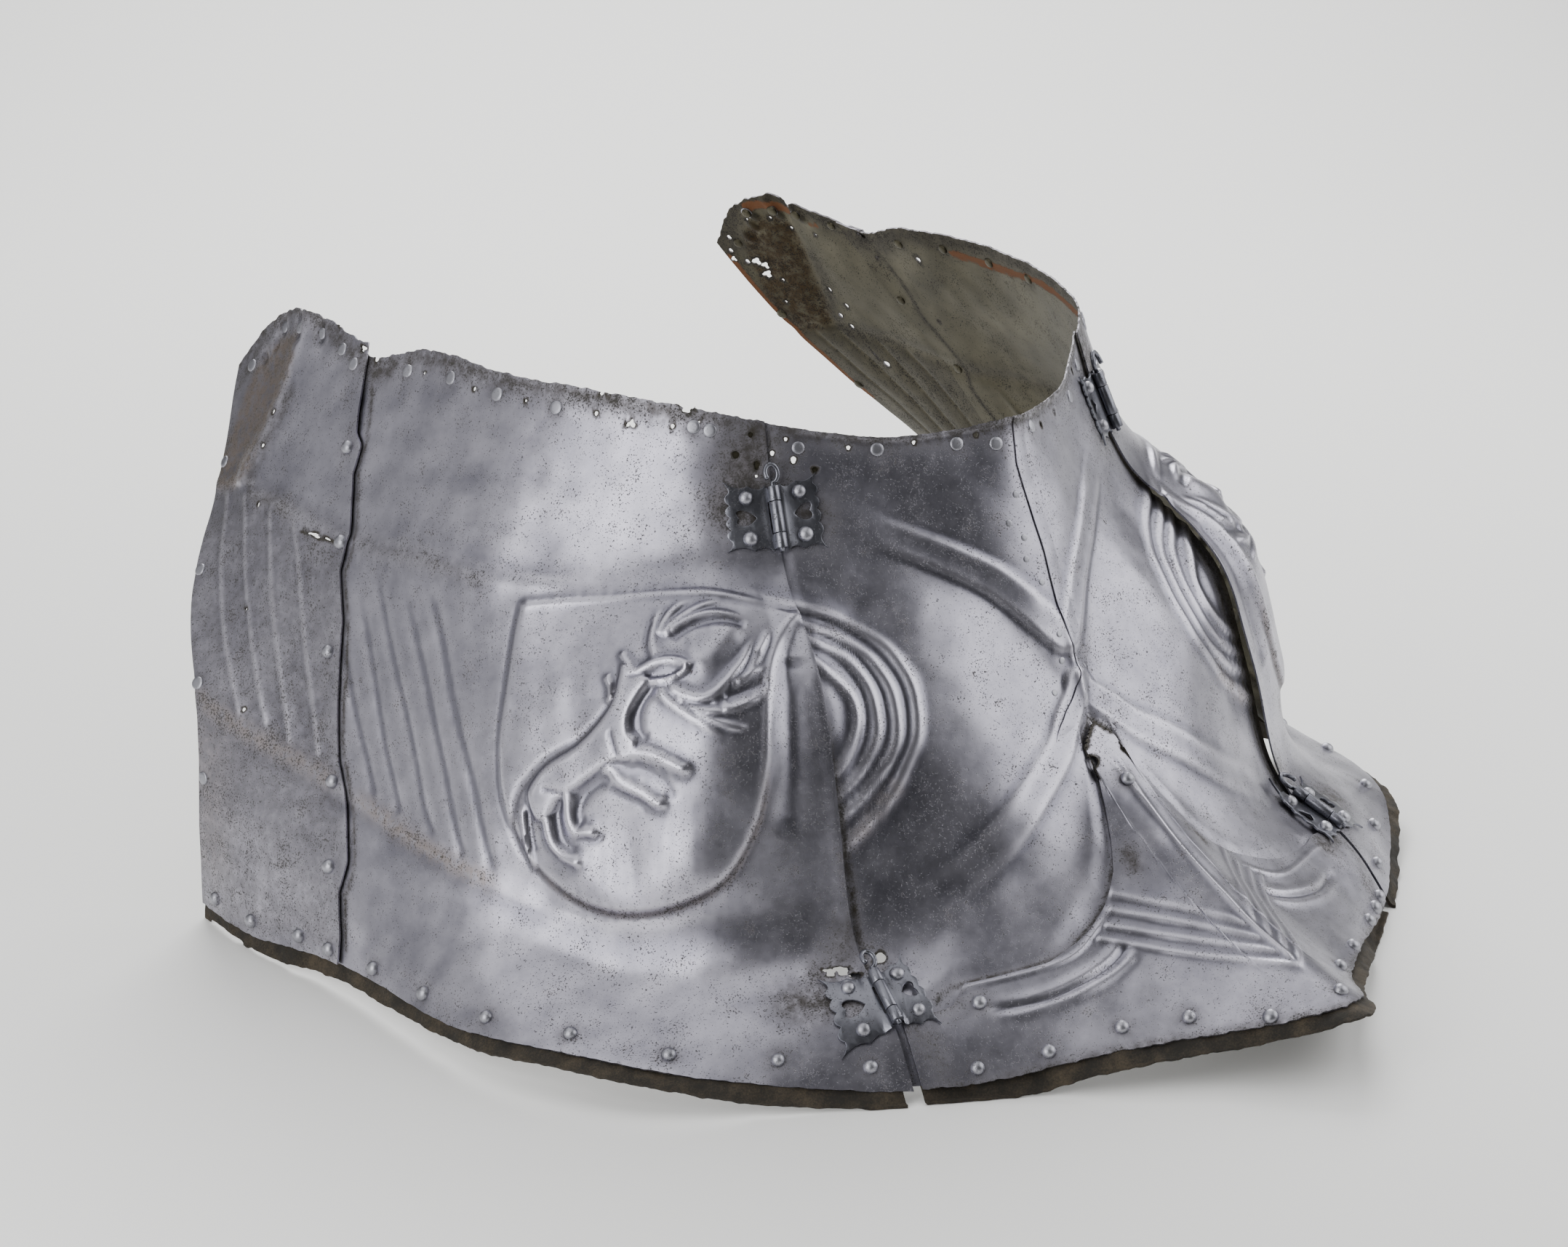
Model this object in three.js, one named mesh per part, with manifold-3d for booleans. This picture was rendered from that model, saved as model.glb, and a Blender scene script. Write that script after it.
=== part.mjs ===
// Peytral: the breast armour of a horse, in three hinged steel plates with leather strips.
// Millimetres, +Z up. The front faces -Y, the horse's right is -X, and the floor is z = 0.
import * as THREE from 'three';
import { mergeVertices } from 'three/addons/utils/BufferGeometryUtils.js';
import Module from 'manifold-3d';

const wasm = await Module();
wasm.setup();

// Driving dimensions
const PLATE = 1.6; // thickness of the steel
const LAP = 2.4; // from the inner face of a plate to the inner face of the plate lapped over it
const LEATHER = 1.8; // thickness of the leather strips
const LEATHER_DROP = 16; // how far the strips hang below the steel
const LEATHER_RISE = 26; // how far the strips reach up behind the steel
const LOBE_SWELL = 15; // extra swell of the two breast lobes
const EDGE_CURL = 7; // how far the front edge of a side plate stands off at the belly
const FORE_AFT_SHIFT = 24; // moves the middle of the length to y = 0

// Sections through the right half, from the keel back to the rear edge. x and y place the
// belly point in plan. Below it the section falls away at the angle fall, above it at the
// angle rake, both in degrees from straight ahead. reach is how far each level lies out of the
// belly point, and height is its height.
const LEVELS = { bottom: 0, flange: 1, lower: 2, belly: 3, upper: 4, neck: 5, top: 6 };
const SECTIONS = [
  { name: 'keel', x: 0, y: -245, fall: 0, rake: 0,
    reach: [285, 170, 50, 0, -20, -60, -92], height: [60, 100, 175, 225, 265, 365, 460] },
  { name: 'inner lobe', x: -55, y: -230, fall: 3, rake: 6,
    reach: [245, 150, 65, 0, -30, -65, -95], height: [40, 85, 150, 230, 295, 385, 455] },
  { name: 'lobe', x: -115, y: -215, fall: 5, rake: 10,
    reach: [210, 135, 65, 0, -45, -85, -105], height: [30, 75, 135, 235, 320, 395, 455] },
  { name: 'outer lobe', x: -180, y: -195, fall: 10, rake: 21,
    reach: [180, 125, 60, 0, -55, -95, -120], height: [15, 65, 120, 240, 325, 400, 460] },
  { name: 'junction', x: -235, y: -175, fall: 17, rake: 24,
    reach: [160, 110, 50, 0, -60, -110, -135], height: [10, 65, 110, 260, 330, 400, 470] },
  { name: 'shield front', x: -315, y: -135, fall: 32, rake: 37,
    reach: [130, 80, 30, 0, -90, -130, -155], height: [20, 60, 120, 265, 350, 410, 480] },
  { name: 'shield middle', x: -360, y: -45, fall: 33, rake: 44,
    reach: [155, 95, 40, 0, -70, -115, -150], height: [30, 55, 105, 245, 340, 410, 485] },
  { name: 'shield rear', x: -390, y: 55, fall: 33, rake: 46,
    reach: [160, 100, 45, 0, -60, -105, -155], height: [30, 65, 120, 230, 340, 405, 485] },
  { name: 'flutes', x: -395, y: 150, fall: 32, rake: 48,
    reach: [165, 105, 55, 0, -50, -100, -160], height: [25, 75, 135, 235, 340, 405, 480] },
  { name: 'overlap', x: -395, y: 225, fall: 42, rake: 50,
    reach: [105, 85, 45, 0, -50, -90, -145], height: [25, 85, 160, 250, 335, 390, 465] },
  { name: 'peak', x: -400, y: 320, fall: 43, rake: 52,
    reach: [95, 85, 55, 0, -60, -115, -175], height: [17, 95, 175, 255, 340, 405, 480] },
  { name: 'rear edge', x: -405, y: 410, fall: 36, rake: 56,
    reach: [75, 85, 70, 0, -75, -120, -155], height: [15, 110, 190, 255, 325, 375, 420] },
];
// Places along the sections: whole numbers are rows of the table above
const JUNCTION = 4;
const OVERLAP = 9;
const REAR = 11;
const UNDER_EXTENSION = OVERLAP + 0.2; // rear edge of a side plate, behind its extension

// Where the cut upper edge of the lower flange lies: distance from the keel in sections, level
const FLANGE_EDGE = [
  { out: 0, level: 3.0 }, { out: 0.14, level: 2.72 }, { out: 0.3, level: 2.6 },
  { out: 0.3, level: 2.52 }, { out: 0.38, level: 2.3 }, { out: 0.6, level: 1.98 },
  { out: 0.85, level: 1.73 }, { out: 1.2, level: 1.48 }, { out: 1.65, level: 1.27 },
  { out: 2.2, level: 1.12 }, { out: 3.1, level: 1.14 }, { out: 3.5, level: 0.95 },
  { out: 3.95, level: 0.72 },
];

// Hinges: a is along the pin, b across it, h away from the steel
const HINGE = {
  length: 50, // along the barrel
  tip: 29, // half the length at the outer corners of a leaf
  width: 38, // from the pin to the outer edge of a leaf
  scallops: 5,
  scallopDepth: 3,
  leaf: 1.8,
  seat: 1.15, // between a leaf and its plate
  barrel: 4.2, // outer radius
  bore: 2.2, // radius
  pin: 1.5, // radius
  endGap: 0.6, // between two knuckles
  middle: 0.5, // share of the length taken by the middle knuckle
  heart: 6.5, // half width of the heart cut in each leaf
  heartAt: 24, // from the pin to the middle of the heart
  ring: 6, // radius of the pin's loop
};
const BEND_LENGTH = 26; // longest edge of a hinge leaf before it is bent to its plate
// Each side: sign of x, and the level of the upper and the lower hinge on the junction line
const SIDES = [
  { name: 'right', sign: -1, hinges: { upper: 5.0, lower: 1.02 } },
  { name: 'left', sign: 1, hinges: { upper: 5.19, lower: 1.28 } },
];

const steel = new THREE.MeshStandardMaterial({ color: 0x8d9196, roughness: 0.38, metalness: 1 });
const hingeSteel = new THREE.MeshStandardMaterial({ color: 0x7b7d80, roughness: 0.42, metalness: 1 });
const pinSteel = new THREE.MeshStandardMaterial({ color: 0x6b6964, roughness: 0.5, metalness: 1 });
const leather = new THREE.MeshStandardMaterial({ color: 0x5e3f28, roughness: 0.85, metalness: 0 });

// Rises from 0 at from to 1 at to, which may be the smaller of the two
function smooth(from, to, value) {
  const share = THREE.MathUtils.clamp((value - from) / (to - from), 0, 1);
  return share * share * (3 - 2 * share);
}
const radians = THREE.MathUtils.degToRad;

// One point of a section, at a level
function sectionPoint(section, level) {
  const reach = section.reach[level];
  const angle = radians(reach > 0 ? section.fall : section.rake);
  return new THREE.Vector3(
    section.x - reach * Math.sin(angle),
    section.y - reach * Math.cos(angle) + FORE_AFT_SHIFT,
    section.height[level],
  );
}
const NET = SECTIONS.map((section) => Object.values(LEVELS).map((level) => sectionPoint(section, level)));

// Smooth curve through four points, between the second and the third
function through(a, b, c, d, t) {
  const bend = (p, q, r, s) => 0.5 * (2 * q + (r - p) * t + (2 * p - 5 * q + 4 * r - s) * t * t
    + (3 * q - p - 3 * r + s) * t ** 3);
  return new THREE.Vector3(bend(a.x, b.x, c.x, d.x), bend(a.y, b.y, c.y, d.y), bend(a.z, b.z, c.z, d.z));
}

// A point of a list that is continued straight on past its ends
function beyond(list, index) {
  const last = list.length - 1;
  if (index < 0) return list[0].clone().multiplyScalar(2).sub(list[-index]);
  if (index > last) return list[last].clone().multiplyScalar(2).sub(list[2 * last - index]);
  return list[index];
}

function along(list, place, mirrored) {
  const cell = THREE.MathUtils.clamp(Math.floor(place), 0, list.length - 2);
  const before = cell === 0 && mirrored
    ? list[1].clone().multiply(new THREE.Vector3(-1, 1, 1))
    : beyond(list, cell - 1);
  return through(before, list[cell], list[cell + 1], beyond(list, cell + 2), place - cell);
}

function baseShell(out, level) {
  return along(NET.map((row) => along(row, level, false)), out, true);
}

// How much the breast lobes swell beyond the sections
function swell(out, level) {
  const across = (out - 1.9) / 1.9;
  const up = (level - 3.15) / 1.35;
  const left = 1 - across * across - up * up;
  return left > 0 ? LOBE_SWELL * left * left : 0;
}

function frameAt(shell, out, level) {
  const step = 0.02;
  const sideways = shell(out + step, level).sub(shell(out - step, level)).divideScalar(2 * step);
  const upward = shell(out, level + step).sub(shell(out, level - step)).divideScalar(2 * step);
  const normal = upward.clone().cross(sideways).normalize();
  return { sideways, upward, normal };
}

function swollenShell(out, level) {
  const point = baseShell(out, level);
  const amount = swell(out, level);
  return amount === 0 ? point : point.addScaledVector(frameAt(baseShell, out, level).normal, amount);
}

// The point of one side at a place of the shell, lifted off it along its normal
function shellPoint(sign, out, level, lift) {
  const { normal } = frameAt(swollenShell, Math.max(out, 0.02), level);
  if (out < 0.02) normal.x = 0;
  const point = swollenShell(out, level).addScaledVector(normal.normalize(), lift);
  return sign < 0 ? point : point.setX(-point.x);
}

function closedMesh(name, points, triangles, material) {
  let volume = 0;
  for (const [a, b, c] of triangles) {
    volume += points[a].dot(points[b].clone().cross(points[c]));
  }
  const faces = volume < 0 ? triangles.map(([a, b, c]) => [a, c, b]) : triangles;
  const geometry = new THREE.BufferGeometry();
  geometry.setAttribute('position', new THREE.Float32BufferAttribute(points.flatMap((p) => p.toArray()), 3));
  geometry.setIndex(faces.flat());
  geometry.computeVertexNormals();
  const mesh = new THREE.Mesh(geometry, material);
  mesh.name = name;
  return mesh;
}

// A plate between an inner and an outer grid. place(column, row) gives the point on each face.
function sheet(name, columns, rows, place, material) {
  const points = [];
  for (const face of ['inner', 'outer']) {
    for (let i = 0; i <= columns; i += 1) {
      for (let j = 0; j <= rows; j += 1) points.push(place(i, j, face));
    }
  }
  const at = (face, i, j) => face * (columns + 1) * (rows + 1) + i * (rows + 1) + j;
  const triangles = [];
  const quad = (a, b, c, d) => triangles.push([a, b, c], [a, c, d]);
  for (let i = 0; i < columns; i += 1) {
    for (let j = 0; j < rows; j += 1) {
      quad(at(1, i, j), at(1, i + 1, j), at(1, i + 1, j + 1), at(1, i, j + 1));
      quad(at(0, i, j), at(0, i, j + 1), at(0, i + 1, j + 1), at(0, i + 1, j));
    }
    quad(at(0, i, 0), at(0, i + 1, 0), at(1, i + 1, 0), at(1, i, 0));
    quad(at(0, i, rows), at(1, i, rows), at(1, i + 1, rows), at(0, i + 1, rows));
  }
  for (let j = 0; j < rows; j += 1) {
    quad(at(0, 0, j), at(1, 0, j), at(1, 0, j + 1), at(0, 0, j + 1));
    quad(at(0, columns, j), at(0, columns, j + 1), at(1, columns, j + 1), at(1, columns, j));
  }
  return closedMesh(name, points, triangles, material);
}

// A sheet on the shell: columns is a list of places out from the keel, negative on the
// right, and span(place) gives its lower and upper level there
function shellSheet(name, sign, columns, rows, span, lift, thickness, material) {
  const place = (i, j, face) => {
    const out = columns[i];
    const side = sign === 0 ? (out < 0 ? -1 : 1) : sign;
    const away = Math.abs(out);
    const [low, high] = span(away);
    const level = low + ((high - low) * j) / rows;
    return shellPoint(side, away, level, lift(away, level) + (face === 'outer' ? thickness : 0));
  };
  return sheet(name, columns.length - 1, rows, place, material);
}

function steps(from, to, count) {
  return Array.from({ length: count + 1 }, (_, i) => from + ((to - from) * i) / count);
}

function flangeLevel(out) {
  const next = FLANGE_EDGE.findIndex((row) => row.out >= out);
  if (next <= 0) return FLANGE_EDGE[next < 0 ? FLANGE_EDGE.length - 1 : 0].level;
  const a = FLANGE_EDGE[next - 1];
  const b = FLANGE_EDGE[next];
  return a.out === b.out ? b.level : a.level + ((b.level - a.level) * (out - a.out)) / (b.out - a.out);
}

// Centre plate: behind the flange it ends a little below the flange's cut edge, and
// near the junctions it runs down to the bottom
const CENTRE_EDGE = JUNCTION + 0.16;
const UNDERLAP = 0.36; // levels hidden behind the flange
const TUCK = 1.9; // how far the plate is set back behind the flange
const TAIL_TUCK = 1.1; // and behind the side plates, which swing inwards a little
function centreSpan(out) {
  const low = flangeLevel(out) - UNDERLAP;
  const leg = smooth(3.2, 3.6, out);
  return [low * (1 - leg) + 0.06 * leg, LEVELS.top];
}
function centrePlate() {
  const columns = bothSides(steps(0, JUNCTION, 12).concat([CENTRE_EDGE]));
  const tuck = (out, level) => {
    const behindFlange = TUCK * smooth(0.25, -0.1, level - flangeLevel(out));
    return -behindFlange - TAIL_TUCK * smooth(JUNCTION - 0.2, JUNCTION, out);
  };
  const rows = 16;
  const place = (i, j, face) => {
    const away = Math.abs(columns[i]);
    const [low, high] = centreSpan(away);
    const level = low + ((high - low) * j) / rows;
    const narrow = away > JUNCTION ? JUNCTION - 0.04 : away;
    const end = away > JUNCTION && level < 0.75 ? narrow : away;
    const inset = away === JUNCTION && level < 0.75 ? JUNCTION - 0.1 : end;
    const lift = tuck(inset, level) + (face === 'outer' ? PLATE : 0);
    return shellPoint(columns[i] < 0 ? -1 : 1, inset, level, lift);
  };
  return sheet('centre_plate', columns.length - 1, rows, place, steel);
}

// Columns of the flange and of the leather behind it: closer where the cut edge turns
const FLANGE_HALF = [0, 0.14, 0.3, 0.38, 0.6, 0.85, 1.2, 1.65, 2, 2.333, 2.667, 3, 3.333, 3.667, 3.94];
const bothSides = (half) => half.slice(1).reverse().map((out) => -out).concat(half);

function lowerFlange() {
  const columns = bothSides(FLANGE_HALF);
  const span = (out) => [0, flangeLevel(out)];
  return shellSheet('lower_flange', 0, columns, 8, span, () => LAP, PLATE, steel);
}

// Side plate: its front edge curls off the centre plate at the belly
function curl(out, level) {
  const near = smooth(JUNCTION + 0.4, JUNCTION, out);
  const height = smooth(1.5, 2.6, level) * smooth(4.6, 3.6, level);
  return EDGE_CURL * near * height;
}
function flankPlate(side) {
  const columns = [JUNCTION + 0.01].concat(steps(JUNCTION, OVERLAP, 15).slice(1), [UNDER_EXTENSION]);
  const span = () => [0, LEVELS.top];
  const lift = (out, level) => LAP + curl(out, level);
  return shellSheet(`${side.name}_flank_plate`, side.sign, columns, 18, span, lift, PLATE, steel);
}

// Rear extension: riveted over the flank plate, with a wavy front edge and a raised corner
const WAVE = 0.05;
const NOTCH = 0.3; // how far its front corner stands above the flank plate, in levels
const RAISED_ROWS = 2; // rows of the grid that carry the raised corner
function rearExtension(side) {
  const columns = [OVERLAP, UNDER_EXTENSION].concat(steps(OVERLAP, REAR, 6).slice(1));
  const rows = 18;
  const place = (i, j, face) => {
    const rise = NOTCH * smooth(OVERLAP + 1, OVERLAP, columns[i]);
    const level = (LEVELS.top * j) / rows + rise * Math.max(0, (j + RAISED_ROWS - rows) / RAISED_ROWS);
    const out = columns[i] + (i === 0 ? WAVE * Math.sin(level * 2.6) : 0);
    return shellPoint(side.sign, out, level, 2 * LAP + (face === 'outer' ? PLATE : 0));
  };
  return sheet(`${side.name}_rear_extension`, columns.length - 1, rows, place, steel);
}

const LEATHER_INSET = -0.3; // from the shell to the inner face of a strip

// Leather strips show below the steel; where they reach the floor they lie flat on it
function leatherStrip(name, sign, columns, inset) {
  const rows = 2;
  const place = (i, j, face) => {
    const out = Math.abs(columns[i]);
    const side = sign === 0 ? (columns[i] < 0 ? -1 : 1) : sign;
    const perLevel = frameAt(swollenShell, Math.max(out, 0.02), 0.05).upward.length();
    const low = -LEATHER_DROP / perLevel;
    const high = LEATHER_RISE / perLevel;
    const level = low + ((high - low) * j) / rows;
    const point = shellPoint(side, out, level, inset(out) + (face === 'outer' ? LEATHER : 0));
    return point.setZ(Math.max(point.z, 0));
  };
  return sheet(name, columns.length - 1, rows, place, leather);
}
function centreLeather() {
  const inset = (out) => LEATHER_INSET - 4.4 * smooth(2.3, 2.9, out);
  return leatherStrip('centre_leather', 0, bothSides(FLANGE_HALF), inset);
}
function flankLeather(side) {
  const columns = [JUNCTION + 0.08].concat(steps(JUNCTION, REAR, 21).slice(1));
  const inset = (out) => LEATHER_INSET + LAP * smooth(OVERLAP + 0.3, OVERLAP + 0.66, out);
  return leatherStrip(`${side.name}_leather`, side.sign, columns, inset);
}

// Hinges: the pin lies along the chord of the junction line, clear of a bulge between its ends
function hingeFrame(side, level) {
  const at = frameAt(swollenShell, JUNCTION, level);
  const reach = HINGE.length / 2 / at.upward.length();
  const foot = swollenShell(JUNCTION, level - reach);
  const head = swollenShell(JUNCTION, level + reach);
  const axis = head.clone().sub(foot).normalize();
  const across = at.normal.clone().cross(axis).normalize();
  if (across.dot(at.sideways) < 0) across.negate();
  const normal = axis.clone().cross(across).normalize();
  if (normal.dot(at.normal) < 0) normal.negate();
  const origin = foot.lerp(head, 0.5);
  const bulge = swollenShell(JUNCTION, level).sub(origin).dot(normal);
  origin.addScaledVector(normal, Math.max(bulge, 0));
  return { origin, axis, across, normal, at, level, sign: side.sign };
}

// From hinge coordinates to the object: near the pin the frame is straight, further out it
// follows the plate
function onHinge(frame, a, b, h, lift) {
  const { sideways, upward } = frame.at;
  const straight = frame.origin.clone().addScaledVector(frame.axis, a)
    .addScaledVector(frame.across, b).addScaledVector(frame.normal, h + lift);
  const flat = frame.axis.clone().multiplyScalar(a).addScaledVector(frame.across, b);
  const uu = sideways.dot(sideways);
  const uv = sideways.dot(upward);
  const vv = upward.dot(upward);
  const fu = flat.dot(sideways);
  const fv = flat.dot(upward);
  const det = uu * vv - uv * uv;
  const out = JUNCTION + (fu * vv - fv * uv) / det;
  const level = frame.level + (fv * uu - fu * uv) / det;
  const fitted = shellPoint(-1, out, level, h + lift);
  const point = straight.lerp(fitted, smooth(HINGE.barrel, HINGE.barrel + 5, Math.abs(b)));
  return frame.sign < 0 ? point : point.setX(-point.x);
}

function toManifold(geometry) {
  const bare = geometry.clone();
  bare.deleteAttribute('normal');
  bare.deleteAttribute('uv');
  const merged = mergeVertices(bare, 1e-4);
  return new wasm.Manifold(new wasm.Mesh({
    numProp: 3,
    vertProperties: new Float32Array(merged.attributes.position.array),
    triVerts: new Uint32Array(merged.index.array),
  }));
}

// Splits every edge longer than the limit at its middle, so that a flat solid can be bent
function splitLong(points, triangles, limit) {
  const middles = new Map();
  const middle = (p, q) => {
    if (points[p].distanceTo(points[q]) <= limit) return -1;
    const key = p < q ? `${p}_${q}` : `${q}_${p}`;
    if (!middles.has(key)) {
      middles.set(key, points.length);
      points.push(points[p].clone().lerp(points[q], 0.5));
    }
    return middles.get(key);
  };
  const split = [];
  for (const [a, b, c] of triangles) {
    const ab = middle(a, b);
    const bc = middle(b, c);
    const ca = middle(c, a);
    const count = (ab >= 0) + (bc >= 0) + (ca >= 0);
    if (count === 0) split.push([a, b, c]);
    if (count === 3) split.push([a, ab, ca], [ab, b, bc], [ca, bc, c], [ab, bc, ca]);
    if (count === 1 && ab >= 0) split.push([a, ab, c], [ab, b, c]);
    if (count === 1 && bc >= 0) split.push([b, bc, a], [bc, c, a]);
    if (count === 1 && ca >= 0) split.push([c, ca, b], [ca, a, b]);
    if (count === 2 && ab < 0) split.push([c, ca, bc], [ca, a, b], [ca, b, bc]);
    if (count === 2 && bc < 0) split.push([a, ab, ca], [ab, b, c], [ab, c, ca]);
    if (count === 2 && ca < 0) split.push([b, bc, ab], [bc, c, a], [bc, a, ab]);
  }
  return split;
}

function fromManifold(name, solid, move, material) {
  const { vertProperties, triVerts } = solid.getMesh();
  const points = [];
  for (let i = 0; i < vertProperties.length; i += 3) {
    points.push(new THREE.Vector3(vertProperties[i], vertProperties[i + 1], vertProperties[i + 2]));
  }
  let triangles = [];
  for (let i = 0; i < triVerts.length; i += 3) triangles.push([...triVerts.slice(i, i + 3)]);
  for (let pass = 0; pass < 2; pass += 1) triangles = splitLong(points, triangles, BEND_LENGTH);
  return closedMesh(name, points.map((p) => move(p.x, p.y, p.z)), triangles, material);
}

// Outline of a leaf, b to the right and a up: straight at the pin, scalloped at the outer
// edge, drawn in between its corners
function leafOutline() {
  const half = HINGE.length / 2;
  const outline = new THREE.Shape();
  outline.moveTo(0, -half);
  outline.quadraticCurveTo(HINGE.width * 0.7, -half + 1, HINGE.width, -HINGE.tip);
  for (let i = 0; i < HINGE.scallops; i += 1) {
    const end = -HINGE.tip + (2 * HINGE.tip * (i + 1)) / HINGE.scallops;
    const middle = end - HINGE.tip / HINGE.scallops;
    outline.quadraticCurveTo(HINGE.width - 2 * HINGE.scallopDepth, middle, HINGE.width, end);
  }
  outline.quadraticCurveTo(HINGE.width * 0.7, half - 1, 0, half);
  outline.closePath();
  const heart = new THREE.Path();
  const size = HINGE.heart;
  const at = HINGE.heartAt;
  heart.moveTo(at - 1.5 * size, 0);
  heart.quadraticCurveTo(at - 0.3 * size, size, at + 0.5 * size, size);
  heart.quadraticCurveTo(at + 1.3 * size, 0.7 * size, at + 0.3 * size, 0);
  heart.quadraticCurveTo(at + 1.3 * size, -0.7 * size, at + 0.5 * size, -size);
  heart.quadraticCurveTo(at - 0.3 * size, -size, at - 1.5 * size, 0);
  outline.holes.push(heart);
  return outline;
}

function box(b0, b1, a0, a1, h0, h1) {
  const geometry = new THREE.BoxGeometry(b1 - b0, a1 - a0, h1 - h0);
  return toManifold(geometry.translate((b0 + b1) / 2, (a0 + a1) / 2, (h0 + h1) / 2));
}
function rod(radius, a0, a1, height) {
  const geometry = new THREE.CylinderGeometry(radius, radius, a1 - a0, 12);
  return toManifold(geometry.translate(0, (a0 + a1) / 2, height));
}

const BARREL_HEIGHT = HINGE.barrel + 0.8; // the barrel's centre above the back of the leaf
// A leaf with its knuckles, in hinge coordinates (b, a, h), h = 0 at the back of the leaf
function leafSolid(knuckles) {
  const plate = new THREE.ExtrudeGeometry(leafOutline(), {
    depth: HINGE.leaf, bevelEnabled: false, curveSegments: 3,
  });
  let solid = toManifold(plate);
  const room = HINGE.barrel + 0.5;
  solid = solid.subtract(box(-1, room, -HINGE.length, HINGE.length, -5, 15));
  for (const [a0, a1] of knuckles) {
    solid = solid.add(box(0, room + 1, a0, a1, 0, HINGE.leaf));
    solid = solid.add(rod(HINGE.barrel, a0, a1, BARREL_HEIGHT));
  }
  return solid.subtract(rod(HINGE.bore, -HINGE.length, HINGE.length, BARREL_HEIGHT));
}

const LOOP_LIFT = 0.7; // how much further out each eighth of the loop lies
// The pin: a wire whose top is bent into an open loop
function pinSolid(name, frame, lift) {
  const half = HINGE.length / 2;
  const neck = half + 3;
  const points = [-neck, 0, half - 6, neck].map((a) => new THREE.Vector3(0, a, 0));
  const turns = 8;
  for (let i = 1; i <= turns; i += 1) {
    const angle = (i / turns) * radians(300);
    points.push(new THREE.Vector3(
      -HINGE.ring * 0.8 * Math.sin(angle), neck + HINGE.ring * 1.1 * (1 - Math.cos(angle)), i * LOOP_LIFT,
    ));
  }
  const section = new THREE.Shape();
  section.absarc(0, 0, HINGE.pin, 0, 2 * Math.PI);
  const wire = new THREE.ExtrudeGeometry(section, {
    steps: 18, curveSegments: 3, extrudePath: new THREE.CatmullRomCurve3(points), bevelEnabled: false,
  });
  const move = (b, a, h) => onHinge(frame, a, b, h + BARREL_HEIGHT, lift);
  return fromManifold(name, toManifold(wire), move, pinSteel);
}

function hingeMeshes(side, which) {
  const frame = hingeFrame(side, side.hinges[which]);
  const half = HINGE.length / 2;
  const middle = HINGE.middle * half;
  const seat = LAP + PLATE + HINGE.seat;
  const centreSeat = which === 'upper' ? PLATE + HINGE.seat : seat;
  const settle = (b) => seat + (centreSeat - seat) * smooth(HINGE.barrel, HINGE.width * 0.5, Math.abs(b));
  const outer = [[-half, -middle - HINGE.endGap], [middle + HINGE.endGap, half]];
  const name = `${side.name}_${which}_hinge`;
  const flank = leafSolid(outer);
  const centre = leafSolid([[-middle, middle]]);
  return [
    fromManifold(`${name}_flank_leaf`, flank, (b, a, h) => onHinge(frame, a, b, h, seat), hingeSteel),
    fromManifold(`${name}_centre_leaf`, centre, (b, a, h) => onHinge(frame, a, -b, h, settle(b)), hingeSteel),
    pinSolid(`${name}_pin`, frame, seat),
  ];
}

const peytral = new THREE.Group();
peytral.add(centrePlate(), lowerFlange(), centreLeather());
for (const side of SIDES) {
  const flank = new THREE.Group();
  flank.add(flankPlate(side), rearExtension(side), flankLeather(side));
  for (const which of ['upper', 'lower']) flank.add(...hingeMeshes(side, which));
  peytral.add(flank);
}

export default peytral;
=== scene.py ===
"""A peytral, the breast armour of a horse, dressed for its photograph.

Three embossed steel plates with hinges, rivets and strips of leather. The script works in
metres with +Z up. The front faces -Y and the horse's right is -X. Sizes inside the classes
are in millimetres and are scaled once, when a mesh is finished.
"""
from __future__ import annotations

import logging
import math
from collections.abc import Callable, Sequence
from dataclasses import dataclass, field
from enum import Enum

import bmesh
import bpy
import numpy as np
from mathutils import Matrix, Vector


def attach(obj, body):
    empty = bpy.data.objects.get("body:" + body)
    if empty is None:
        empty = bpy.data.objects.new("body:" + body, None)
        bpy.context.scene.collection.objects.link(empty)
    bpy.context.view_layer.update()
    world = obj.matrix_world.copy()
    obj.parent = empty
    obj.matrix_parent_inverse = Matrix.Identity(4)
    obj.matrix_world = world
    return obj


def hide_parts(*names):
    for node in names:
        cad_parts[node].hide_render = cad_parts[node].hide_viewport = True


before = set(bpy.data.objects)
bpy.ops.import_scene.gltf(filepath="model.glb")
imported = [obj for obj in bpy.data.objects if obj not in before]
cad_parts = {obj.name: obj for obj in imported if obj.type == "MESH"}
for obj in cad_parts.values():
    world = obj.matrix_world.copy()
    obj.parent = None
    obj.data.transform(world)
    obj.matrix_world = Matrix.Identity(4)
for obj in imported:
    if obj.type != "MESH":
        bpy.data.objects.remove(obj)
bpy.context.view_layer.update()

LOG = logging.getLogger("peytral")
MM = 0.001
SEED = 1520
Place = tuple[float, float]


class Side(Enum):
    """A side of the horse, by the sign of x."""

    RIGHT = -1
    LEFT = 1

    @property
    def word(self) -> str:
        """The side's name in node and body names."""
        return self.name.lower()


# The surface
@dataclass(frozen=True)
class Section:
    """One section through the right half, in millimetres, from the floor up to the neck.

    x and y place the belly point in plan. Below it the section falls away at the angle fall,
    above it at the angle rake, both in degrees from straight ahead.
    """

    x: float
    y: float
    fall: float
    rake: float
    reach: tuple[float, ...]
    height: tuple[float, ...]

    def points(self, shift: float) -> list[tuple[float, float, float]]:
        """The section's points.

        Args:
            shift: how far back the section moves.

        Returns:
            Rows of (x, y, z).
        """
        rows = []
        for reach, height in zip(self.reach, self.height):
            angle = math.radians(self.fall if reach > 0 else self.rake)
            x = self.x - reach * math.sin(angle)
            rows.append((x, self.y - reach * math.cos(angle) + shift, height))
        return rows


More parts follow.
